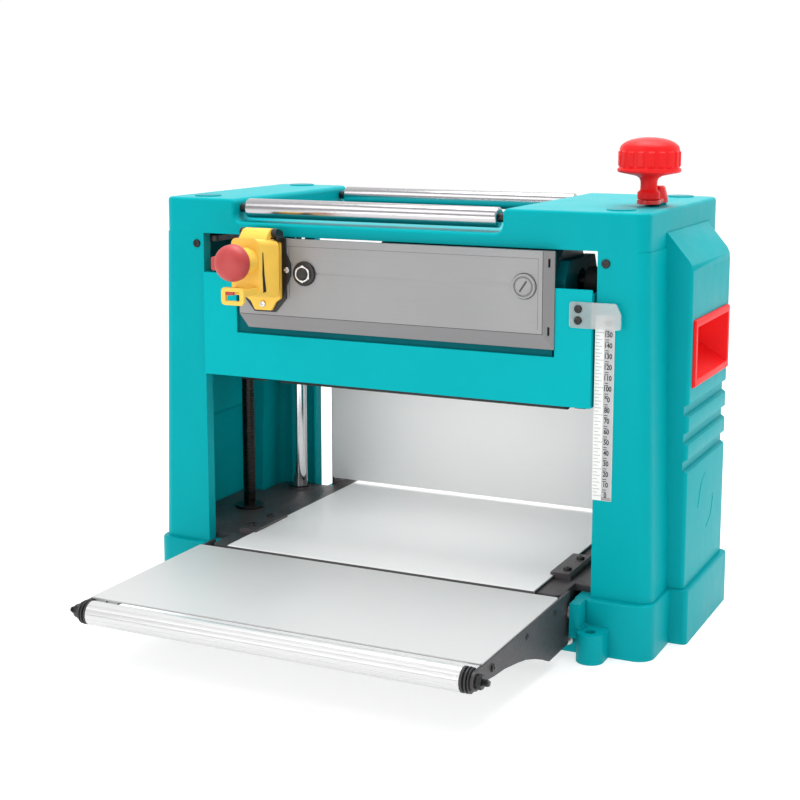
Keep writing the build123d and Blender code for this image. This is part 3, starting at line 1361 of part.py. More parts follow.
with BuildPart() as return_roller_rear:
    with BuildSketch(Plane.YZ.offset(RR_X0)):
        with Locations((RR_Y, RR_Z)):
            Circle(RR_R)
    extrude(amount=RR_X1 - RR_X0)
    with BuildSketch(Plane.YZ.offset(NOTCH_X0 + 0.6)):
        with Locations((RR_Y, RR_Z)):
            Circle(4.5)
    extrude(amount=NOTCH_X1 - NOTCH_X0 - 1.2)
    with BuildSketch(Plane.YZ.offset(NOTCH_X0 - 4)):
        with Locations((RR_Y, RR_Z)):
            Circle(RR_PIN - 0.05)
    extrude(amount=NOTCH_X1 - NOTCH_X0 + 8)
return_roller_rear.part.label = "return_roller_rear"
export_step(return_roller_rear.part, "parts/return_roller_rear.step")
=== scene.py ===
import bpy
import bmesh
import json
import math
from math import radians, sin, cos, pi, tau
from mathutils import Vector, Matrix


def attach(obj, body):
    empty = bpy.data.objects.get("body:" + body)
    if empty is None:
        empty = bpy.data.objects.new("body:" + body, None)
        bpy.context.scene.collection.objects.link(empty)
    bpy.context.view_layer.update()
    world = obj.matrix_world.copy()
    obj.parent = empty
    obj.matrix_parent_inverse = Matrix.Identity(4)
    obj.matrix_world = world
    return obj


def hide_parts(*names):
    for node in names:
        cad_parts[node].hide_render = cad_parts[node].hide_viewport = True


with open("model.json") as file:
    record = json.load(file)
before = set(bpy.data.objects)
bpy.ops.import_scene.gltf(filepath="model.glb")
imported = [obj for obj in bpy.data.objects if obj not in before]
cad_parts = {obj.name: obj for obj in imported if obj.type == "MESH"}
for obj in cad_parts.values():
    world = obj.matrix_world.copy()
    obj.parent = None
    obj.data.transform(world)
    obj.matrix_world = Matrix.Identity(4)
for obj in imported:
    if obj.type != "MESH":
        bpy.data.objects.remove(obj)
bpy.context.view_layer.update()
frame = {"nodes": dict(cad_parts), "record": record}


MM = 0.001
NODE_BODY = {n: b for b, ns in frame["record"]["behaviour"]["bodies"].items() for n in ns}

# ----------------------------------------------------------------------------
# materials: procedural, in object space so that they ride with their piece
# ----------------------------------------------------------------------------


def new_mat(name, color, rough=0.4, metal=0.0, **sockets):
    m = bpy.data.materials.new(name)
    m.use_nodes = True
    nt = m.node_tree
    b = nt.nodes["Principled BSDF"]
    b.inputs["Base Color"].default_value = (*color, 1.0)
    b.inputs["Roughness"].default_value = rough
    b.inputs["Metallic"].default_value = metal
    for k, v in sockets.items():
        b.inputs[k.replace("_", " ")].default_value = v
    m.diffuse_color = (*color, 1.0)
    return m, nt, b


def coords(nt, scale=(1, 1, 1), rot=(0, 0, 0)):
    t = nt.nodes.new("ShaderNodeTexCoord")
    mp = nt.nodes.new("ShaderNodeMapping")
    mp.inputs["Scale"].default_value = scale
    mp.inputs["Rotation"].default_value = rot
    nt.links.new(t.outputs["Object"], mp.inputs["Vector"])
    return mp.outputs["Vector"]


def noise(nt, vec, scale, detail=4.0, rough=0.55, dist=0.0):
    n = nt.nodes.new("ShaderNodeTexNoise")
    n.inputs["Scale"].default_value = scale
    n.inputs["Detail"].default_value = detail
    n.inputs["Roughness"].default_value = rough
    n.inputs["Distortion"].default_value = dist
    nt.links.new(vec, n.inputs["Vector"])
    return n.outputs["Fac"]


def ramp(nt, fac, stops):
    r = nt.nodes.new("ShaderNodeValToRGB")
    el = r.color_ramp.elements
    while len(el) > 1:
        el.remove(el[0])
    for i, (p, c) in enumerate(stops):
        e = el[0] if i == 0 else el.new(p)
        e.position = p
        e.color = (*c, 1.0) if len(c) == 3 else c
    nt.links.new(fac, r.inputs["Fac"])
    return r.outputs["Color"]


def remap(nt, fac, lo, hi, f0=0.25, f1=0.75):
    r = nt.nodes.new("ShaderNodeMapRange")
    r.inputs["From Min"].default_value = f0
    r.inputs["From Max"].default_value = f1
    r.inputs["To Min"].default_value = lo
    r.inputs["To Max"].default_value = hi
    nt.links.new(fac, r.inputs["Value"])
    return r.outputs["Result"]


def mix_f(nt, a, b, fac=0.5):
    m = nt.nodes.new("ShaderNodeMix")
    m.data_type = "FLOAT"
    m.inputs[0].default_value = fac
    nt.links.new(a, m.inputs[2])
    nt.links.new(b, m.inputs[3])
    return m.outputs[0]


def bump(nt, b, height, strength, dist=0.001, prev=None):
    n = nt.nodes.new("ShaderNodeBump")
    n.inputs["Strength"].default_value = strength
    n.inputs["Distance"].default_value = dist
    nt.links.new(height, n.inputs["Height"])
    if prev is not None:
        nt.links.new(prev, n.inputs["Normal"])
    nt.links.new(n.outputs["Normal"], b.inputs["Normal"])
    return n.outputs["Normal"]


def shade(c, k):
    return tuple(max(0.0, min(1.0, v * k)) for v in c)


def plastic(name, color, rough=0.3, grain=0.05, coat=0.0, scale=1.0, spread=0.06, wear=0.07, spec=0.5):
    """Moulded or sprayed surface: orange peel, pebble grain, patchy gloss."""
    m, nt, b = new_mat(name, color, rough, 0.0, Coat_Weight=coat, Coat_Roughness=0.12, Specular_IOR_Level=spec)
    v = coords(nt)
    big = noise(nt, v, 14 * scale, 5, 0.6)
    fine = noise(nt, v, 1500 * scale, 2, 0.5)
    peel = noise(nt, v, 190 * scale, 3, 0.5)
    nt.links.new(ramp(nt, big, [(0.3, shade(color, 1 - spread)), (0.5, color), (0.72, shade(color, 1 + spread))]), b.inputs["Base Color"])
    dust = noise(nt, coords(nt, (1, 1, 0.45)), 60 * scale, 8, 0.7)
    nt.links.new(remap(nt, mix_f(nt, big, dust, 0.6), rough - wear * 0.6, rough + wear, 0.35, 0.65), b.inputs["Roughness"])
    n1 = bump(nt, b, peel, 0.10, 0.0012)
    bump(nt, b, fine, grain, 0.0004, n1)
    return m


def brushed(name, color=(0.72, 0.72, 0.71), rough=0.28, along=(1, 60, 60), strength=0.05, spread=0.06, scale=30.0, smudge=0.08, metal=1.0):
    """Rolled or brushed sheet metal, fine lines along one axis, faint smudges."""
    m, nt, b = new_mat(name, color, rough, metal)
    v = coords(nt, along)
    lines = noise(nt, v, scale, 6, 0.7)
    fine = noise(nt, coords(nt, tuple(a * 4 for a in along)), scale * 2, 3, 0.6)
    smear = noise(nt, coords(nt), 9, 6, 0.62, 0.6)
    f = mix_f(nt, lines, fine, 0.5)
    nt.links.new(ramp(nt, f, [(0.3, shade(color, 1 - spread)), (0.5, color), (0.7, shade(color, 1 + spread * 0.6))]), b.inputs["Base Color"])
    nt.links.new(remap(nt, mix_f(nt, f, smear, 0.55), rough - smudge, rough + smudge, 0.35, 0.65), b.inputs["Roughness"])
    bump(nt, b, f, strength, 0.0004)
    return m


def turned(name, color, rough=0.22, axis="X", strength=0.05, spread=0.05):
    """Turned or ground round bar, rings across its axis."""
    k = {"X": (900, 30, 30), "Y": (30, 900, 30), "Z": (30, 30, 900)}[axis]
    m, nt, b = new_mat(name, color, rough, 1.0)
    rings = noise(nt, coords(nt, k), 1.0, 4, 0.6)
    smear = noise(nt, coords(nt), 35, 5, 0.6)
    nt.links.new(ramp(nt, rings, [(0.3, shade(color, 1 - spread)), (0.7, shade(color, 1 + spread))]), b.inputs["Base Color"])
    nt.links.new(remap(nt, mix_f(nt, rings, smear, 0.5), rough * 0.75, rough * 1.35, 0.35, 0.65), b.inputs["Roughness"])
    bump(nt, b, rings, strength, 0.0003)
    return m


def cast(name, color, rough=0.5, grain=0.35, metal=0.0, scale=1.0, coat=0.0, dust=(0.16, 0.14, 0.12), amount=0.25):
    """Sand-cast surface under paint: lumpy grain and a little dust tone in random patches."""
    m, nt, b = new_mat(name, color, rough, metal, Coat_Weight=coat, Coat_Roughness=0.25)
    v = coords(nt)
    lumps = noise(nt, v, 240 * scale, 6, 0.65)
    pits = noise(nt, v, 900 * scale, 3, 0.5)
    big = noise(nt, v, 18 * scale, 7, 0.7)
    c2 = tuple(a * (1 - amount) + d * amount for a, d in zip(color, dust))
    nt.links.new(ramp(nt, big, [(0.35, color), (0.55, shade(color, 1.25)), (0.75, c2)]), b.inputs["Base Color"])
    nt.links.new(remap(nt, mix_f(nt, lumps, big, 0.5), rough - 0.1, rough + 0.12, 0.35, 0.65), b.inputs["Roughness"])
    n1 = bump(nt, b, lumps, grain, 0.0012)
    bump(nt, b, pits, grain * 0.5, 0.0005, n1)
    return m


TEAL = (0.0, 0.385, 0.425)
RED = (0.90, 0.014, 0.016)
YELLOW = (0.97, 0.60, 0.085)
BLACK = (0.012, 0.012, 0.013)

MAT = {}
MAT["teal_shell"] = plastic("teal_moulded_shell", TEAL, 0.36, 0.06, coat=0.0, spread=0.03, spec=0.05)
MAT["teal_paint"] = plastic("teal_paint_on_casting", (0.0, 0.36, 0.40), 0.36, 0.10, coat=0.0, scale=0.8, spread=0.05, wear=0.09, spec=0.07)
MAT["teal_apron"] = plastic("teal_paint_on_sheet", (0.0, 0.44, 0.485), 0.36, 0.05, coat=0.0, spread=0.03, spec=0.05)
# darker copy of the teal paint for the head casting, which is seen only in shadow: painted shade
MAT["teal_deep"] = plastic("teal_paint_darkened_as_shade", (0.0, 0.12, 0.14), 0.45, 0.2, coat=0.0, scale=0.8, spread=0.1, wear=0.09, spec=0.05)
MAT["black_cast"] = cast("black_painted_casting", (0.048, 0.042, 0.044), 0.42, 0.3, coat=0.05)
MAT["black_bracket"] = cast("black_powder_coat", (0.032, 0.027, 0.030), 0.46, 0.16, scale=1.6, coat=0.0)
MAT["black_satin"] = plastic("black_satin_plastic", BLACK, 0.35, 0.12)
MAT["black_matte"] = plastic("black_matt_plastic", (0.02, 0.02, 0.021), 0.48, 0.2)
MAT["steel_bed"] = brushed("stainless_bed_sheet", (0.86, 0.86, 0.855), 0.46, (1, 40, 40), 0.03, spread=0.03, metal=0.12)
# the same stainless sheet as the bed, made darker for the infeed table to offset the light on it: painted shade
MAT["steel_table"] = brushed("stainless_sheet_painted_darker", (0.56, 0.56, 0.557), 0.46, (1, 40, 40), 0.03, spread=0.03, metal=0.12)
MAT["panel"] = brushed("brushed_aluminium_panel", (0.30, 0.30, 0.303), 0.46, (1, 50, 50), 0.05, spread=0.07, metal=0.4)
# darker copy of the panel metal for the sloping border faces: painted shade
MAT["panel_border_shaded"] = brushed("brushed_aluminium_border_painted_shade", (0.23, 0.225, 0.23), 0.40, (1, 50, 50), 0.05, spread=0.07, metal=0.5)
# dark grey for gaps, folds and slots: painted shade lines, not a colour any part has
MAT["crease"] = plastic("painted_shade_crease", (0.06, 0.058, 0.06), 0.5, 0.1)
MAT["teal_plug"] = plastic("teal_plug_in_shade", (0.0, 0.25, 0.28), 0.4, 0.1, spec=0.1)
MAT["cap_grey"] = plastic("grey_brush_cap", (0.33, 0.33, 0.33), 0.42, 0.1, scale=3.0, spread=0.05)
MAT["chrome"] = turned("ground_chrome_post", (0.80, 0.80, 0.81), 0.10, "Z", 0.02)
MAT["roller_steel"] = brushed("return_roller_steel", (0.50, 0.49, 0.50), 0.20, (1, 60, 60), 0.04, spread=0.10)
MAT["roller_alu"] = brushed("table_roller_aluminium", (0.64, 0.64, 0.64), 0.34, (1, 60, 60), 0.05, spread=0.10, metal=0.5)
MAT["screw_black"] = turned("oiled_black_screw", (0.05, 0.048, 0.045), 0.32, "Z", 0.06, 0.2)
MAT["zinc"] = cast("zinc_plated_steel", (0.55, 0.55, 0.54), 0.28, 0.05, metal=1.0, scale=2.0, dust=(0.4, 0.38, 0.34), amount=0.4)
MAT["black_oxide"] = cast("black_oxide_screw", (0.03, 0.03, 0.03), 0.35, 0.06, metal=0.8, scale=2.0)
MAT["brass"] = turned("machined_bronze", (0.65, 0.42, 0.16), 0.3, "Z", 0.05, 0.12)
MAT["red"] = plastic("red_moulded_plastic", RED, 0.36, 0.05, coat=0.0, scale=2.0, spread=0.04, spec=0.18)
MAT["red_arm"] = plastic("red_painted_crank", RED, 0.25, 0.05, coat=0.2, scale=2.0, spread=0.04)
MAT["red_soft"] = plastic("red_handle_plastic", RED, 0.38, 0.1, scale=1.5, spread=0.05, spec=0.12)
MAT["red_switch"] = plastic("red_switch_plastic", (0.50, 0.055, 0.055), 0.40, 0.10, scale=3.0, spread=0.08, spec=0.4)
MAT["yellow"] = plastic("yellow_switch_plastic", YELLOW, 0.36, 0.06, coat=0.0, scale=3.0, spread=0.04, spec=0.4)
MAT["green"] = plastic("green_button_plastic", (0.01, 0.28, 0.05), 0.35, 0.06, scale=3.0)
MAT["rubber"] = cast("black_rubber", (0.018, 0.018, 0.018), 0.72, 0.3, scale=2.0, dust=(0.12, 0.10, 0.08))
MAT["cast_alu"] = cast("die_cast_aluminium", (0.40, 0.40, 0.41), 0.42, 0.25, metal=1.0, dust=(0.3, 0.29, 0.27))
MAT["steel_turned"] = turned("turned_steel", (0.52, 0.52, 0.53), 0.25, "X", 0.06)
MAT["steel_sharp"] = brushed("ground_knife_steel", (0.75, 0.75, 0.76), 0.15, (1, 60, 60), 0.03)
MAT["steel_dark"] = cast("oiled_steel", (0.16, 0.155, 0.15), 0.35, 0.12, metal=1.0, scale=2.0)
MAT["white"] = plastic("white_scale_enamel", (0.86, 0.87, 0.85), 0.35, 0.04, scale=3.0, spread=0.02)
MAT["tick_grey"] = plastic("grey_scale_ink", (0.50, 0.50, 0.50), 0.5, 0.05, scale=3.0)
MAT["band_grey"] = plastic("grey_scale_band", (0.52, 0.52, 0.53), 0.4, 0.05, scale=3.0, spread=0.03)
MAT["ink"] = plastic("black_scale_ink", (0.02, 0.02, 0.022), 0.5, 0.05, scale=3.0)
MAT["ink_red"] = plastic("red_scale_ink", (0.6, 0.02, 0.02), 0.5, 0.05, scale=3.0)
MAT["copper"] = turned("varnished_copper", (0.55, 0.25, 0.12), 0.35, "X", 0.1, 0.2)


def clear(name, color, alpha, rough):
    m, nt, b = new_mat(name, color, rough, 0.0)
    b.inputs["Alpha"].default_value = alpha
    v = coords(nt)
    s = noise(nt, v, 160, 5, 0.6)
    nt.links.new(remap(nt, s, rough - 0.05, rough + 0.12, 0.35, 0.65), b.inputs["Roughness"])
    nt.links.new(ramp(nt, s, [(0.3, shade(color, 0.96)), (0.7, color)]), b.inputs["Base Color"])
    bump(nt, b, s, 0.05, 0.0004)
    return m


MAT["clear"] = clear("clear_pointer_plastic", (0.70, 0.71, 0.71), 0.42, 0.16)
MAT["clear_strip"] = clear("clear_scale_strip", (0.45, 0.52, 0.54), 0.60, 0.2)

# ----------------------------------------------------------------------------
# mesh helpers (millimetres in, metres in the scene)
# ----------------------------------------------------------------------------


def finish_mesh(me, angle=35):
    me.polygons.foreach_set("use_smooth", [True] * len(me.polygons))
    me.set_sharp_from_angle(angle=radians(angle))
    me.update()


HARD = set()


def make_obj(name, me, mat, body, replaces=None, angle=35):
    if me.name not in HARD:
        finish_mesh(me, angle)
    o = bpy.data.objects.new(name, me)
    bpy.context.scene.collection.objects.link(o)
    mats = mat if isinstance(mat, (list, tuple)) else [mat]
    idx = [0] * len(me.polygons)
    me.polygons.foreach_get("material_index", idx)
    me.materials.clear()
    for m in mats:
        me.materials.append(MAT[m] if isinstance(m, str) else m)
    me.polygons.foreach_set("material_index", [min(k, len(mats) - 1) for k in idx])
    if replaces:
        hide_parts(*([replaces] if isinstance(replaces, str) else replaces))
    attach(o, body)
    return o


def bevelled(me, width, segments=2, angle=30, profile=0.5):
    """The mesh with its sharp edges rounded, as a new mesh."""
    me.polygons.foreach_set("use_smooth", [True] * len(me.polygons))
    me.set_sharp_from_angle(angle=radians(angle))
    tmp = bpy.data.objects.new("tmp", me)
    bpy.context.scene.collection.objects.link(tmp)
    mod = tmp.modifiers.new("b", "BEVEL")
    mod.harden_normals = True
    mod.width = width * MM
    mod.segments = segments
    mod.limit_method = "ANGLE"
    mod.angle_limit = radians(angle)
    mod.profile = profile
    mod.use_clamp_overlap = True
    mod.miter_outer = "MITER_ARC"
    dg = bpy.context.evaluated_depsgraph_get()
    out = bpy.data.meshes.new_from_object(tmp.evaluated_get(dg))
    bpy.data.objects.remove(tmp)
    HARD.add(out.name)
    return out


def area_of(me):
    me.calc_loop_triangles()
    return sum(t.area for t in me.loop_triangles)


def clean_copy(src, dissolve, cut=None):
    me = src.data.copy()
    bm = bmesh.new()
    bm.from_mesh(me)
    bmesh.ops.remove_doubles(bm, verts=bm.verts, dist=3e-6)
    if dissolve:
        bmesh.ops.dissolve_limit(bm, angle_limit=radians(0.4), verts=bm.verts, edges=bm.edges)
    if cut:
        bmesh.ops.bisect_plane(bm, geom=bm.verts[:] + bm.edges[:] + bm.faces[:], plane_co=(0, cut * MM, 0), plane_no=(0, 1, 0))
    bmesh.ops.recalc_face_normals(bm, faces=bm.faces)
    bm.to_mesh(me)
    bm.free()
    return me


def from_cad(node, mat, width=0.5, segments=2, angle=32, name=None, dissolve=True, pick=None, cut=None):
    """A finer copy of a CAD node: welded, flat faces merged, edges rounded.
    A copy whose skin area differs from the CAD is made again in a simpler way."""
    src = frame["nodes"][node]
    whole = area_of(src.data)
    for flat, w in ((dissolve, width), (False, width), (False, width * 0.4), (False, 0.0)):
        me = clean_copy(src, flat, cut)
        if w > 0:
            me = bevelled(me, w, segments, angle)
        ratio = area_of(me) / whole
        if 0.85 < ratio < 1.012:
            break
    print("SKIN", node, flat, round(w, 2), round(ratio, 4))
    if pick:
        idx = [int(pick(f)) for f in me.polygons]
        o = make_obj(name or node + "_detail", me, mat, NODE_BODY[node], node)
        me.polygons.foreach_set("material_index", idx)
        return o
    return make_obj(name or node + "_detail", me, mat, NODE_BODY[node], node)


def bm_mesh(name, build):
    bm = bmesh.new()
    build(bm)
    me = bpy.data.meshes.new(name)
    bmesh.ops.recalc_face_normals(bm, faces=bm.faces)
    bm.to_mesh(me)
    bm.free()
    return me


def axis_matrix(origin, axis):
    z = Vector(axis).normalized()
    q = Vector((0, 0, 1)).rotation_difference(z)
    return Matrix.Translation(Vector(origin) * MM) @ q.to_matrix().to_4x4()


def lathe_into(bm, profile, origin, axis, segs=96, radial=None, mat_index=0):
    """Revolves (r, h) pairs round an axis. radial(i, angle, r, h) may change a radius."""
    M = axis_matrix(origin, axis)
    rings = []
    for i, (r, h) in enumerate(profile):
        if r < 1e-6:
            rings.append([bm.verts.new(M @ Vector((0, 0, h * MM)))])
            continue
        ring = []
        for k in range(segs):
            a = tau * k / segs
            rr = radial(i, a, r, h) if radial else r
            ring.append(bm.verts.new(M @ Vector((rr * cos(a) * MM, rr * sin(a) * MM, h * MM))))
        rings.append(ring)
    for a, b in zip(rings, rings[1:]):
        for k in range(segs):
            k2 = (k + 1) % segs
            if len(a) == 1 and len(b) == 1:
                continue
            if len(a) == 1:
                f = bm.faces.new((a[0], b[k], b[k2]))
            elif len(b) == 1:
                f = bm.faces.new((a[k], a[k2], b[0]))
            else:
                f = bm.faces.new((a[k], a[k2], b[k2], b[k]))
            f.material_index = mat_index
    return rings


def lathe(name, profile, origin, axis, mat, body, segs=96, radial=None, replaces=None, angle=35):
    me = bm_mesh(name, lambda bm: lathe_into(bm, profile, origin, axis, segs, radial))
    return make_obj(name, me, mat, body, replaces, angle)


def box_into(bm, lo, hi, mat_index=0):
    x0, y0, z0 = [v * MM for v in lo]
    x1, y1, z1 = [v * MM for v in hi]
    v = [bm.verts.new(p) for p in ((x0, y0, z0), (x1, y0, z0), (x1, y1, z0), (x0, y1, z0), (x0, y0, z1), (x1, y0, z1), (x1, y1, z1), (x0, y1, z1))]
    for q in ((0, 3, 2, 1), (4, 5, 6, 7), (0, 1, 5, 4), (1, 2, 6, 5), (2, 3, 7, 6), (3, 0, 4, 7)):
        f = bm.faces.new([v[i] for i in q])
        f.material_index = mat_index


def boxes(name, items, mat, body, width=0.3, segments=2, replaces=None):
    def build(bm):
        for lo, hi in items:
            box_into(bm, lo, hi)
    me = bm_mesh(name, build)
    if width > 0:
        me = bevelled(me, width, segments)
    return make_obj(name, me, mat, body, replaces)


def prism_into(bm, pts, to3d, d0, d1, mat_index=0):
    """Extrudes a closed outline. to3d(u, v, d) gives the point in mm."""
    a = [bm.verts.new(Vector(to3d(u, v, d0)) * MM) for u, v in pts]
    b = [bm.verts.new(Vector(to3d(u, v, d1)) * MM) for u, v in pts]
    n = len(pts)
    fs = [bm.faces.new(a), bm.faces.new(list(reversed(b)))]
    for i in range(n):
        j = (i + 1) % n
        fs.append(bm.faces.new((a[j], a[i], b[i], b[j])))
    for f in fs:
        f.material_index = mat_index


def prism(name, pts, to3d, d0, d1, mat, body, width=0.3, segments=2, replaces=None, angle=35):
    me = bm_mesh(name, lambda bm: prism_into(bm, pts, to3d, d0, d1))
    if width > 0:
        me = bevelled(me, width, segments)
    return make_obj(name, me, mat, body, replaces, angle)


XZ = lambda u, v, d: (u, d, v)
YZ = lambda u, v, d: (d, u, v)
XY = lambda u, v, d: (u, v, d)


def rounded_rect(cx, cy, w, h, r, n=6):
    pts = []
    for sx, sy, a0 in ((1, 1, 0), (-1, 1, 90), (-1, -1, 180), (1, -1, 270)):
        for k in range(n + 1):
            a = radians(a0 + 90 * k / n)
            pts.append((cx + sx * (w / 2 - r) + r * cos(a), cy + sy * (h / 2 - r) + r * sin(a)))
    return pts


def screw_into(bm, origin, axis, r, h, recess=True, mat_index=0, hexagon=False):
    """Pan head with a cross recess, standing on origin along axis."""
    prof = [(0, h * 0.55), (r * 0.30, h * 0.62), (r * 0.62, h), (r * 0.8, h * 0.93), (r * 0.95, h * 0.6), (r, h * 0.2), (r, 0)]
    def radial(i, a, rr, hh):
        if i == 2:
            k = abs(cos(2 * a))
            return r * (0.25 + 0.37 * k ** 3)
        return rr
    lathe_into(bm, prof, origin, axis, 48, radial if recess else None, mat_index)


def screws(name, items, mat, body, slot, replaces=None):
    def build(bm):
        for origin, axis, r, h in items:
            screw_into(bm, origin, axis, r, h)
    return make_obj(name, bm_mesh(name, build), mat, body, replaces, 28)


def hex_into(bm, origin, axis, r, h, bore=0.0):
    """Hexagon nut or bolt head with a chamfered top, r across corners."""
    M = axis_matrix(origin, axis)
    seg = 48
    def hexr(a):
        b = (a + pi / 6) % (pi / 3) - pi / 6
        return r * cos(pi / 6) / cos(b)
    rings = []
    levels = [(0.0, 1.0), (h * 0.86, 1.0), (h, 0.9)]
    for z, k in levels:
        ring = []
        for i in range(seg):
            a = tau * i / seg
            rr = hexr(a) if k == 1.0 else min(hexr(a), r * k)
            ring.append(bm.verts.new(M @ Vector((rr * cos(a) * MM, rr * sin(a) * MM, z * MM))))
        rings.append(ring)
    inner_top = [bm.verts.new(M @ Vector((max(bore, 0.01) * cos(tau * i / seg) * MM, max(bore, 0.01) * sin(tau * i / seg) * MM, h * MM))) for i in range(seg)]
    inner_bot = [bm.verts.new(M @ Vector((max(bore, 0.01) * cos(tau * i / seg) * MM, max(bore, 0.01) * sin(tau * i / seg) * MM, 0))) for i in range(seg)]
    rings = [inner_bot] + rings + [inner_top, inner_bot]
    for a, b in zip(rings, rings[1:]):
        for i in range(seg):
            j = (i + 1) % seg
            bm.faces.new((a[i], a[j], b[j], b[i]))


# ----------------------------------------------------------------------------
# frame: base, bed, towers, cover
# ----------------------------------------------------------------------------
from_cad("base_casting", "teal_paint", 1.2, 3)
from_cad("bed_casting", "black_cast", 0.8, 2)
# the bed sheet's front edge face takes the dark grey: a painted shadow line for the gap in front of it
from_cad("bed_plate", ["steel_bed", "crease"], 0.3, 2, pick=lambda f: f.normal.y < -0.75 and f.center.y < -0.15)
from_cad("bed_clips", "black_cast", 0.8, 2)
from_cad("left_side_housing", "teal_shell", 0.9, 3)
from_cad("right_side_housing", "teal_shell", 0.9, 3)
from_cad("top_cover", ["teal_shell", "teal_plug"], 0.5, 2, pick=lambda f: f.center.z > 0.41445 and abs(f.center.x) < 0.2365 and f.normal.z > 0.9 and abs(f.center.y + 36) > 0 and min((f.center - Vector((0.230, -0.036, f.center.z))).length, 1.0) > 0.02)
from_cad("crosshead_plates", "black_cast", 0.5, 2)
from_cad("carry_handles", "red_soft", 0.8, 3)
from_cad("lead_screw_bushes", "black_oxide", 0.3, 2)
from_cad("pivot_pins", "zinc", 0.3, 2)
from_cad("lift_chain", "steel_dark", 0.3, 1)
from_cad("right_sprocket", "steel_dark", 0.3, 1)
from_cad("left_sprocket", "steel_dark", 0.3, 1)
from_cad("guide_posts", "chrome", 0.5, 2)
YZ = lambda u, v, d: (d, u, v)
for k, (y0, z0, y1, z1, w) in enumerate(((6, 152, -18, 126, -6), (13, 95, 36, 120, 6))):
    arc = []
    for i in range(13):
        t = i / 12.0
        bow = w * 4 * t * (1 - t)
        arc.append((y0 + (y1 - y0) * t + bow * 0.7, z0 + (z1 - z0) * t - bow * 0.7))
    dy, dz = (y1 - y0) / 35.0, (z1 - z0) / 35.0
    outline = [(y - dz * 0.9, z + dy * 0.9) for y, z in arc] + [(y + dz * 0.9, z - dy * 0.9) for y, z in reversed(arc)]
    prism("side_arrow_%d" % k, outline, YZ, 281.9, 282.95, "teal_shell", "frame", 0.25)
    ye, ze = arc[-1]
    prism("side_arrow_head_%d" % k, [(ye + dy * 5, ze + dz * 5), (ye - dz * 3.4, ze + dy * 3.4), (ye + dz * 3.4, ze - dy * 3.4)], YZ, 281.9, 282.95, "teal_shell", "frame", 0.25)
from_cad("crank_arm", "red_arm", 0.6, 2)
# head
# head casting in the darkened teal copy: painted shade
from_cad("head_casting", "teal_deep", 0.7, 2)
from_cad("head_apron", "teal_apron", 0.8, 3)
from_cad("chip_deflector", "black_bracket", 0.2, 1)
from_cad("lead_nuts", "brass", 0.3, 2)
from_cad("guide_bushes", "brass", 0.3, 2)
from_cad("motor_housing", "cast_alu", 0.5, 2)

from_cad("gearbox_cover", "black_bracket", 0.8, 2)
from_cad("drive_belt", "rubber", 0.3, 1)
from_cad("cutterhead_bearings", "steel_turned", 0.3, 1)
from_cad("cable_gland", "black_matte", 0.4, 2)
from_cad("cutterhead", "steel_turned", 0.3, 1)
from_cad("cutter_knives", "steel_sharp", 0.05, 1)
from_cad("knife_clamps", "steel_turned", 0.2, 1)
from_cad("cutterhead_pulley", "cast_alu", 0.4, 2)
from_cad("motor_armature", "steel_dark", 0.3, 1)
from_cad("infeed_feed_roller", "rubber", 0.5, 2)
from_cad("outfeed_feed_roller", "rubber", 0.5, 2)
from_cad("switch_backplate", "black_satin", 0.5, 2)
from_cad("switch_base", "yellow", 0.5, 3)
from_cad("switch_lid", "yellow", 0.7, 3)
from_cad("start_button", "green", 0.4, 2)
from_cad("stop_button", "red_switch", 0.4, 2)
# faces of the panel not facing straight forward take the darker copy: painted shade on the sloping border
from_cad("front_panel", ["panel", "panel_border_shaded"], 0.35, 2, 8, pick=lambda f: f.normal.y > -0.993 and f.center.y < -0.1292)
# thin dark strips along the panel's folds and border: painted shade in the creases
boxes("front_panel_painted_shade_lines", [((-161.4, -133.56, 299.7), (161.6, -133.48, 300.3)), ((161.2, -133.56, 300), (161.8, -133.48, 376.6)), ((-161.4, -133.54, 369.6), (157, -133.48, 369.9)), ((156.8, -133.54, 304), (157.1, -133.48, 369.9)), ((-104.5, -133.54, 318), (-104.1, -133.48, 369.8))], "crease", "head", 0.0)
from_cad("pointer_bracket", "clear", 0.3, 2)
from_cad("depth_scale", "white", 0.15, 1)
# tables
for t in ("infeed", "outfeed"):
    # the infeed sheet takes the darkened copy of the stainless: painted shade
    from_cad(t + "_sheet", "steel_table" if t == "infeed" else "steel_bed", 0.3, 2)
    from_cad(t + "_brackets", "black_bracket", 0.5, 2)


# ----------------------------------------------------------------------------
# round parts rebuilt with smooth outlines
# ----------------------------------------------------------------------------
for n, y in (("return_roller_front", -107.0), ("return_roller_rear", 107.0)):
    prof = [(4.4, -165.7), (6.6, -165.7), (7.0, -165.3), (8.2, -165.3), (9.2, -164.9), (9.7, -164.2), (9.8, -163.4), (9.8, 106.3), (9.7, 107.1),
            (9.2, 107.8), (8.2, 108.2), (7.0, 108.2), (6.6, 108.3), (4.4, 108.3), (4.4, -165.7)]
    lathe(n + "_tube", prof, (0, y, 403.7), (1, 0, 0), "roller_steel", NODE_BODY[n], 96, None, n)
    hub = [(0, -178), (2.9, -178), (2.9, -173.6), (4.3, -173.4), (4.3, 116.2), (2.9, 116.4), (2.9, 121), (0, 121)]
    lathe(n + "_axle", hub, (0, y, 403.7), (1, 0, 0), "black_oxide", NODE_BODY[n], 48)

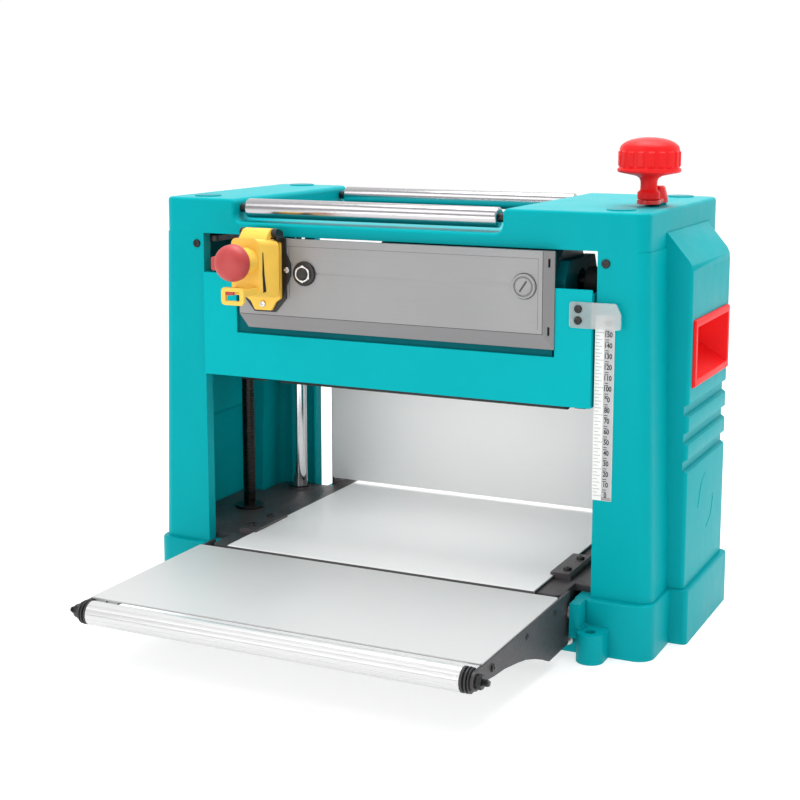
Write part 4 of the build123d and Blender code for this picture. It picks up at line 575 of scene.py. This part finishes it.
for t, o, ax in (("infeed", (0, -361.5, 53.5), (1, 0, 0)), ("outfeed", (0, 130.0, 263.0), (1, 0, 0))):
    n = t + "_roller"
    # extruded tube with shallow flutes, black end bushes
    prof = [(3.06, -183.6), (10.4, -183.6), (11.0, -183.2), (11.0, 183.2), (10.4, 183.6), (3.06, 183.6), (3.06, -183.6)]
    def flutes(i, a, r, h):
        if r < 5:
            return r
        k = (a * 16 / tau) % 1.0
        return r - (0.28 if 0.44 < k < 0.56 else 0.0)
    def build(bm):
        lathe_into(bm, prof, o, ax, 256, flutes, 0)
        for s in (1, -1):
            cap = [(3.06, 183.62), (10.9, 183.62), (11.0, 183.9), (11.0, 185.4), (10.7, 185.8), (8.6, 186.0), (8.4, 186.3), (8.4, 187.0), (8.6, 187.3), (10.7, 187.5), (11.0, 187.9),
                   (11.0, 188.7), (10.7, 189.1), (8.6, 189.3), (8.4, 189.5), (8.4, 190.0), (8.6, 190.2), (10.4, 190.3), (10.7, 190.6), (10.7, 191.2), (10.4, 191.5), (3.06, 191.5), (3.06, 183.62)]
            lathe_into(bm, [(r, s * h) for r, h in cap], o, ax, 64, None, 1)
    make_obj(n + "_profile", bm_mesh(n, build), ["roller_alu", "black_matte"], NODE_BODY[n], n, 30)

# crank knob with raised ribs
KN = [(4.05, 420), (10.0, 420), (10.6, 420.6), (10.6, 426.2), (10.2, 427), (8.6, 428.2), (8.0, 429.5), (7.8, 434), (8.0, 437), (9.0, 439.8), (11.5, 441.6), (14.5, 442.5), (28.0, 445.2), (29.3, 445.8), (29.8, 446.6),
      (29.8, 448.2), (29.4, 449.0), (28.6, 449.5), (28.0, 450.0), (28.0, 450.6), (28.0, 451.6), (28.0, 464.4), (28.0, 465.6), (28.0, 466.6), (27.7, 468.0), (27.0, 469.8), (25.4, 471.6), (22.6, 473.6), (18.0, 475.6), (12.0, 477.0), (6.0, 477.8), (0, 478)]


def knob_ribs(i, a, r, h):
    if 450.5 <= h <= 465.7:
        k = (a * 18 / tau) % 1.0
        up = min(1.0, max(0.0, (0.5 - abs(k - 0.5) - 0.19) / 0.05))
        fade = 1.0 if 451 < h < 465 else 0.0
        return r + 1.25 * up * fade
    return r


lathe("crank_knob_grip", KN, (230, -36, 0), (0, 0, 1), "red", "knob", 540, knob_ribs, "crank_knob", 40)


def thread(name, x, y, z0, z1, top, body, replaces):
    """Trapezoid thread of 2 mm pitch between two plain journals."""
    pitch, root, crest, segs = 2.0, 6.15, 7.0, 40
    def build(bm):
        prof = [(0.0, root), (0.22, root), (0.42, crest), (0.78, crest)]
        turns = int((z1 - z0) / pitch)
        rows = []
        for t in range(turns * segs + 1):
            a = tau * (t % segs) / segs
            zb = z0 + pitch * t / segs
            rows.append([bm.verts.new(Vector((x + r * cos(a), y + r * sin(a), zb + f * pitch)) * MM) for f, r in prof])
        for t in range(len(rows) - 1):
            for k in range(len(prof)):
                if k + 1 < len(prof):
                    bm.faces.new((rows[t][k], rows[t + 1][k], rows[t + 1][k + 1], rows[t][k + 1]))
                elif t + segs + 1 < len(rows):
                    bm.faces.new((rows[t][k], rows[t + 1][k], rows[t + 1 + segs][0], rows[t + segs][0]))
        for lo, hi, r in ((6, z0 + 1.2, 6.0), (z1 - 1.2, top, 6.0)):
            lathe_into(bm, [(0, lo), (r - 0.6, lo), (r, lo + 0.6), (r, hi - 0.6), (r - 0.6, hi), (0, hi)], (x, y, 0), (0, 0, 1), 64)
        lathe_into(bm, [(0, z0), (6.9, z0), (6.9, z0 + 1.0), (0, z0 + 1.0)], (x, y, 0), (0, 0, 1), 64)
        lathe_into(bm, [(0, z1 - 1.0), (6.9, z1 - 1.0), (6.9, z1), (0, z1)], (x, y, 0), (0, 0, 1), 64)
        lathe_into(bm, [(0, z0), (root + 0.02, z0), (root + 0.02, z1), (0, z1)], (x, y, 0), (0, 0, 1), 40)
    make_obj(name, bm_mesh(name, build), "screw_black", body, replaces, 25)


thread("right_screw_thread", 230, -9, 64.5, 365.5, 428, "right_screw", "right_lead_screw")
thread("left_screw_thread", -230, -9, 64.5, 365.5, 380, "left_screw", "left_lead_screw")

# red mushroom of the switch
MU = [(0, -207.5), (3.5, -207.45), (7, -207.1), (10.5, -206.2), (13.2, -204.9), (15.4, -202.9), (17.0, -200.4), (17.8, -197.8), (18.0, -195), (18.0, -192.2), (17.6, -191.3), (16.8, -190.6),
      (14.5, -189.8), (9, -189.0), (6.6, -188.6), (6, -188), (6, -159), (8, -159), (8, -157), (6, -157), (6, -153.4), (5.4, -152.8), (0, -152.8)]
lathe("stop_mushroom_cap", [(r, h) for r, h in MU], (-131.5, 0, 358), (0, 1, 0), "red_switch", "mushroom", 96, None, "stop_mushroom")
prism("stop_mushroom_tab", rounded_rect(-149.5, 357, 8, 13, 2), XZ, -198.5, -192.5, "red_switch", "mushroom", 0.6, 3)

lathe("brush_cap_detail", [(0, 108.6), (9, 108.6), (9, 133.5), (11.5, 133.5), (11.5, 135.7), (11.1, 136.2), (9.8, 136.2), (9.4, 135.6), (9.1, 134.6), (8.5, 134.6), (8.2, 135.6), (7.6, 136.3), (6.8, 136.5), (0, 136.5)],
      (143.4, 0, 343.8), (0, -1, 0), "cap_grey", "head", 96, None, "brush_cap", 40)
# a thin dark ring at the cap's foot and a dark plate for its slot: painted shade in the groove and the slot
lathe("brush_cap_ring_painted_shade", [(11.5, 133.45), (12.3, 133.45), (12.3, 133.6), (11.5, 133.6), (11.5, 133.45)], (143.4, 0, 343.8), (0, -1, 0), "crease", "head", 96)
prism("brush_cap_slot_painted_shade", [(139.3, 339.3), (140.7, 338.1), (147.5, 348.3), (146.1, 349.5)], XZ, -136.56, -136.3, "crease", "head", 0.0)

lathe("reset_button_cap", [(0, -140.5), (4.6, -140.5), (5.1, -141.0), (5.6, -140.7), (5.9, -140.1), (5.9, -122), (0, -122)],
      (-86.8, 0, 343.5), (0, 1, 0), "black_matte", "reset", 96, None, "reset_button", 40)

# a thin dark plate on the side of the lid, a painted shadow of the slot there, and the red latch in the padlock loop
AB = Vector((9.0, 22.9)).normalized()
SIDE = lambda u, v, d: (-118.0 + AB.x * u + AB.y * d, -168.5 + AB.y * u - AB.x * d, v)
prism("switch_lid_slot_painted_shade", [(4.6, 366), (5.4, 366), (6.6, 345), (8.6, 327.5), (5.0, 326.5), (4.2, 345)], SIDE, -0.5, 0.35, "black_satin", "lid", 0.0)
boxes("switch_lid_latch", [((-140.2, -194.0, 326.6), (-131.5, -191.4, 329.8))], "red_switch", "lid", 0.5, 2)

# ----------------------------------------------------------------------------
# fasteners
# ----------------------------------------------------------------------------


def frame_screws():
    def build(bm):
        for sx in (1, -1):
            for sy in (1, -1):
                screw_into(bm, (sx * 218, sy * 123.5, 367), (0, sy, 0), 4.2, 1.8)
            for px, py in ((238, -92), (220, 88)):
                hex_into(bm, (sx * px, py, 374), (0, 0, 1), 11, 9, 6.02)
                lathe_into(bm, [(9.02, 62.5), (12.2, 62.5), (12.5, 62.8), (12.5, 64.2), (12.2, 64.5), (9.02, 64.5), (9.02, 62.5)], (sx * px, py, 0), (0, 0, 1), 64)
            for y in (-92, -54):
                screw_into(bm, (sx * 176, y, 66.4), (0, 0, 1), 4.2, 2.4)
    make_obj("frame_fasteners_detail", bm_mesh("ff", build), "black_oxide", "frame", "frame_fasteners", 28)


frame_screws()


def stop_bolts():
    def build(bm):
        for sx in (1, -1):
            for sy in (1, -1):
                hex_into(bm, (sx * 193.5, sy * 131.5, 14), (0, sy, 0), 5.5, 7)
                lathe_into(bm, [(0, 0), (3, 0), (3, 14), (0, 14)], (sx * 193.5, sy * 131.5, 14), (0, -sy, 0), 32)
    make_obj("table_stop_bolts_detail", bm_mesh("sb", build), "zinc", "frame", "table_stop_bolts", 28)


stop_bolts()


def head_screws():
    def knurl(i, a, r, h):
        return r - 0.4 * (0.5 + 0.5 * cos(a * 36)) if r > 12.0 else r
    def dark(bm):
        for z in (325.5, 315):
            screw_into(bm, (195, -131, z), (0, -1, 0), 3.8, 2)
        for y, z in ((-62, 290), (62, 290), (-62, 224), (62, 224)):
            screw_into(bm, (-204, y, z), (-1, 0, 0), 3, 1.6)
        lathe_into(bm, [(6.45, 133.5), (12.2, 133.5), (12.2, 135.7), (11.6, 136.4), (11.0, 136.5), (9.0, 136.5), (6.45, 136.5), (6.45, 133.5)], (-86.8, 0, 343.5), (0, -1, 0), 216, knurl)
    def bright(bm):
        screw_into(bm, (-131.5, -139, 311.7), (0, -1, 0), 3.4, 2)
        screw_into(bm, (-106, -135.5, 346.3), (0, -1, 0), 3.2, 1.6)
        hex_into(bm, (-86.8, -136.5, 343.5), (0, -1, 0), 8.8, 2.6, 6.4)
    make_obj("head_fasteners_dark", bm_mesh("hf", dark), "black_oxide", "head", "head_fasteners", 28)
    make_obj("head_fasteners_bright", bm_mesh("hb", bright), "zinc", "head", None, 28)


head_screws()


def table_fasteners(t, tf):
    """tf(x, y, z) places a point of the laid-down front table on this table."""
    def build(bm):
        for s in (1, -1):
            for y, z in ((-180, 53.0), (-249.7, 53.6)):
                lathe_into(bm, [(0, 1.5), (1.4, 1.45), (2.4, 1.1), (3.0, 0.5), (3.2, 0)], tf(s * 195, y, z), (s, 0, 0), 40)
            screw_into(bm, tf(s * 195, -328.7, 53.5), (s, 0, 0), 3.6, 1.8)
            hex_into(bm, tf(s * 195, -361.5, 53.5), (s, 0, 0), 6.4, 5.5)
            prof = [(0, 0), (3.0, 0)]
            z = 0.6
            while z < 9.6:
                prof += [(3.0, z), (2.6, z + 0.4)]
                z += 0.8
            prof += [(2.4, 11), (0, 11)]
            lathe_into(bm, prof, tf(s * 195, -361.5, 53.5), (s, 0, 0), 32)
            lathe_into(bm, [(0, 0), (3, 0), (3, 19), (0, 19)], tf(s * 176, -361.5, 53.5), (s, 0, 0), 32)
    n = t + "_fasteners"
    make_obj(n + "_detail", bm_mesh(n, build), "black_oxide", NODE_BODY[n], n, 28)


table_fasteners("infeed", lambda x, y, z: (x, y, z))
table_fasteners("outfeed", lambda x, y, z: (x, 141.0 - (z - 42.5), 42.5 + (-y - 141.0)))

# ----------------------------------------------------------------------------
# depth scale: ticks, numerals, the grey band and its foot
# ----------------------------------------------------------------------------


def scale_ticks():
    def build(bm):
        for k in range(0, 52):
            z = 152.0 + 3.175 * k
            ln = 6.2 if k % 2 == 0 else 4.0
            if z < 318.5:
                box_into(bm, (210.3, -124.50, z - 0.32), (210.3 + ln, -124.38, z + 0.32))
            if k % 8 == 0 and z < 318.5:
                box_into(bm, (217.0, -124.50, z - 0.6), (217.9, -124.38, z + 0.6))
    make_obj("depth_scale_ticks", bm_mesh("ticks", build), "tick_grey", "frame")


scale_ticks()


def number(text, x, z, size):
    cu = bpy.data.curves.new("num", "FONT")
    cu.body = text
    cu.size = size * MM
    cu.align_x = "CENTER"
    cu.align_y = "CENTER"
    cu.extrude = 0.00004
    cu.offset = 0.0002
    o = bpy.data.objects.new("num", cu)
    bpy.context.scene.collection.objects.link(o)
    dg = bpy.context.evaluated_depsgraph_get()
    me = bpy.data.meshes.new_from_object(o.evaluated_get(dg))
    bpy.data.objects.remove(o)
    me.transform(Matrix.Translation((x * MM, -124.62 * MM, z * MM)) @ Matrix.Rotation(radians(90), 4, "X") @ Matrix.Scale(0.8, 4, (1, 0, 0)))
    return me


def numerals():
    bm = bmesh.new()
    for k in range(0, 17):
        z = 152.0 + 10 * k
        if z > 316:
            break
        me = number(str(k * 10), 222.2, z + 0.6, 6.4)
        bm.from_mesh(me)
        bpy.data.meshes.remove(me)
    for k in range(0, 82):
        z = 152.0 + 2 * k
        if k % 5 not in (0, 4, 1) and z < 316:
            box_into(bm, (219.4, -124.66, z - 0.35), (223.0, -124.58, z + 0.35))
    me = bpy.data.meshes.new("numerals")
    bm.to_mesh(me)
    bm.free()
    make_obj("depth_scale_numerals", me, "ink", "frame")


numerals()
boxes("depth_scale_band", [((218.4, -124.56, 149.4), (227.6, -124.36, 319.6))], "band_grey", "frame", 0.0)
boxes("depth_scale_foot", [((218.4, -124.60, 147.9), (227.6, -124.36, 151.0))], "cap_grey", "frame", 0.0)

# ----------------------------------------------------------------------------
# stage, light, camera
# ----------------------------------------------------------------------------
floor_me = bpy.data.meshes.new("floor")
S = 6.0
floor_me.from_pydata([(-S, -S, 0), (S, -S, 0), (S, S, 0), (-S, S, 0)], [], [(0, 1, 2, 3)])
floor = bpy.data.objects.new("floor", floor_me)
bpy.context.scene.collection.objects.link(floor)
fm, fnt, fb = new_mat("pale_floor", (0.55, 0.55, 0.55), 0.6)
fb.inputs["Specular IOR Level"].default_value = 0.2
fb.inputs["Emission Color"].default_value = (1.0, 1.0, 1.0, 1.0)
fb.inputs["Emission Strength"].default_value = 0.62
floor_me.materials.append(fm)

world = bpy.data.worlds.new("studio")
bpy.context.scene.world = world
world.use_nodes = True
bg = world.node_tree.nodes["Background"]
bg.inputs["Color"].default_value = (1.0, 1.0, 1.0, 1.0)
# white backdrop behind the machine, a dimmer room in front of it
wt = world.node_tree
wc = wt.nodes.new("ShaderNodeTexCoord")
wd = wt.nodes.new("ShaderNodeVectorMath")
wd.operation = "DOT_PRODUCT"
wd.inputs[1].default_value = (-0.433, 0.901, 0.0)
wt.links.new(wc.outputs["Generated"], wd.inputs[0])
wm = wt.nodes.new("ShaderNodeMapRange")
wm.inputs["From Min"].default_value = -0.3
wm.inputs["From Max"].default_value = 0.5
wm.inputs["To Min"].default_value = 0.58
wm.inputs["To Max"].default_value = 1.02
wt.links.new(wd.outputs["Value"], wm.inputs["Value"])
wt.links.new(wm.outputs["Result"], bg.inputs["Strength"])


def area(name, loc, target, size, power, color=(1, 1, 1)):
    li = bpy.data.lights.new(name, "AREA")
    li.shape = "RECTANGLE"
    li.size, li.size_y = size
    li.energy = power
    li.color = color
    o = bpy.data.objects.new(name, li)
    bpy.context.scene.collection.objects.link(o)
    o.location = loc
    d = Vector(target) - Vector(loc)
    o.rotation_euler = d.to_track_quat("-Z", "Y").to_euler()
    return o


area("key_softbox", (-1.1, -1.9, 2.1), (0, 0, 0.2), (1.6, 1.2), 11)
area("fill_softbox", (2.4, -1.1, 1.1), (0, 0, 0.2), (1.2, 1.6), 2)
area("top_softbox", (0.1, 0.3, 2.4), (0, 0, 0.2), (2.0, 1.6), 52)
reflector = area("opening_reflector", (0.0, -0.01, 0.211), (0.0, 0.0, 0.06), (0.34, 0.14), 0.26)
reflector.visible_camera = False
front = area("front_card", (-0.35, -1.5, 0.34), (0, 0.1, 0.12), (0.9, 0.35), 3.0)
front.visible_camera = False
area("rear_softbox", (-0.6, 2.3, 1.4), (0, 0, 0.25), (1.6, 1.0), 2)

cam_d = bpy.data.cameras.new("camera")
cam = bpy.data.objects.new("camera", cam_d)
bpy.context.scene.collection.objects.link(cam)
AZ, EL = radians(25.66), radians(9.26)
cam_d.sensor_width = 36.0
cam_d.lens = 1533.5 / 800 * 36.0
cam_d.shift_y = -0.075
cam_d.clip_end = 30
look = Vector((-sin(AZ) * cos(EL), cos(AZ) * cos(EL), -sin(EL)))
cam.location = Vector((645.8, -1442.3, 521.6)) * MM
cam.rotation_euler = look.to_track_quat("-Z", "Y").to_euler()
bpy.context.scene.camera = cam
bpy.context.scene.view_settings.view_transform = "Standard"
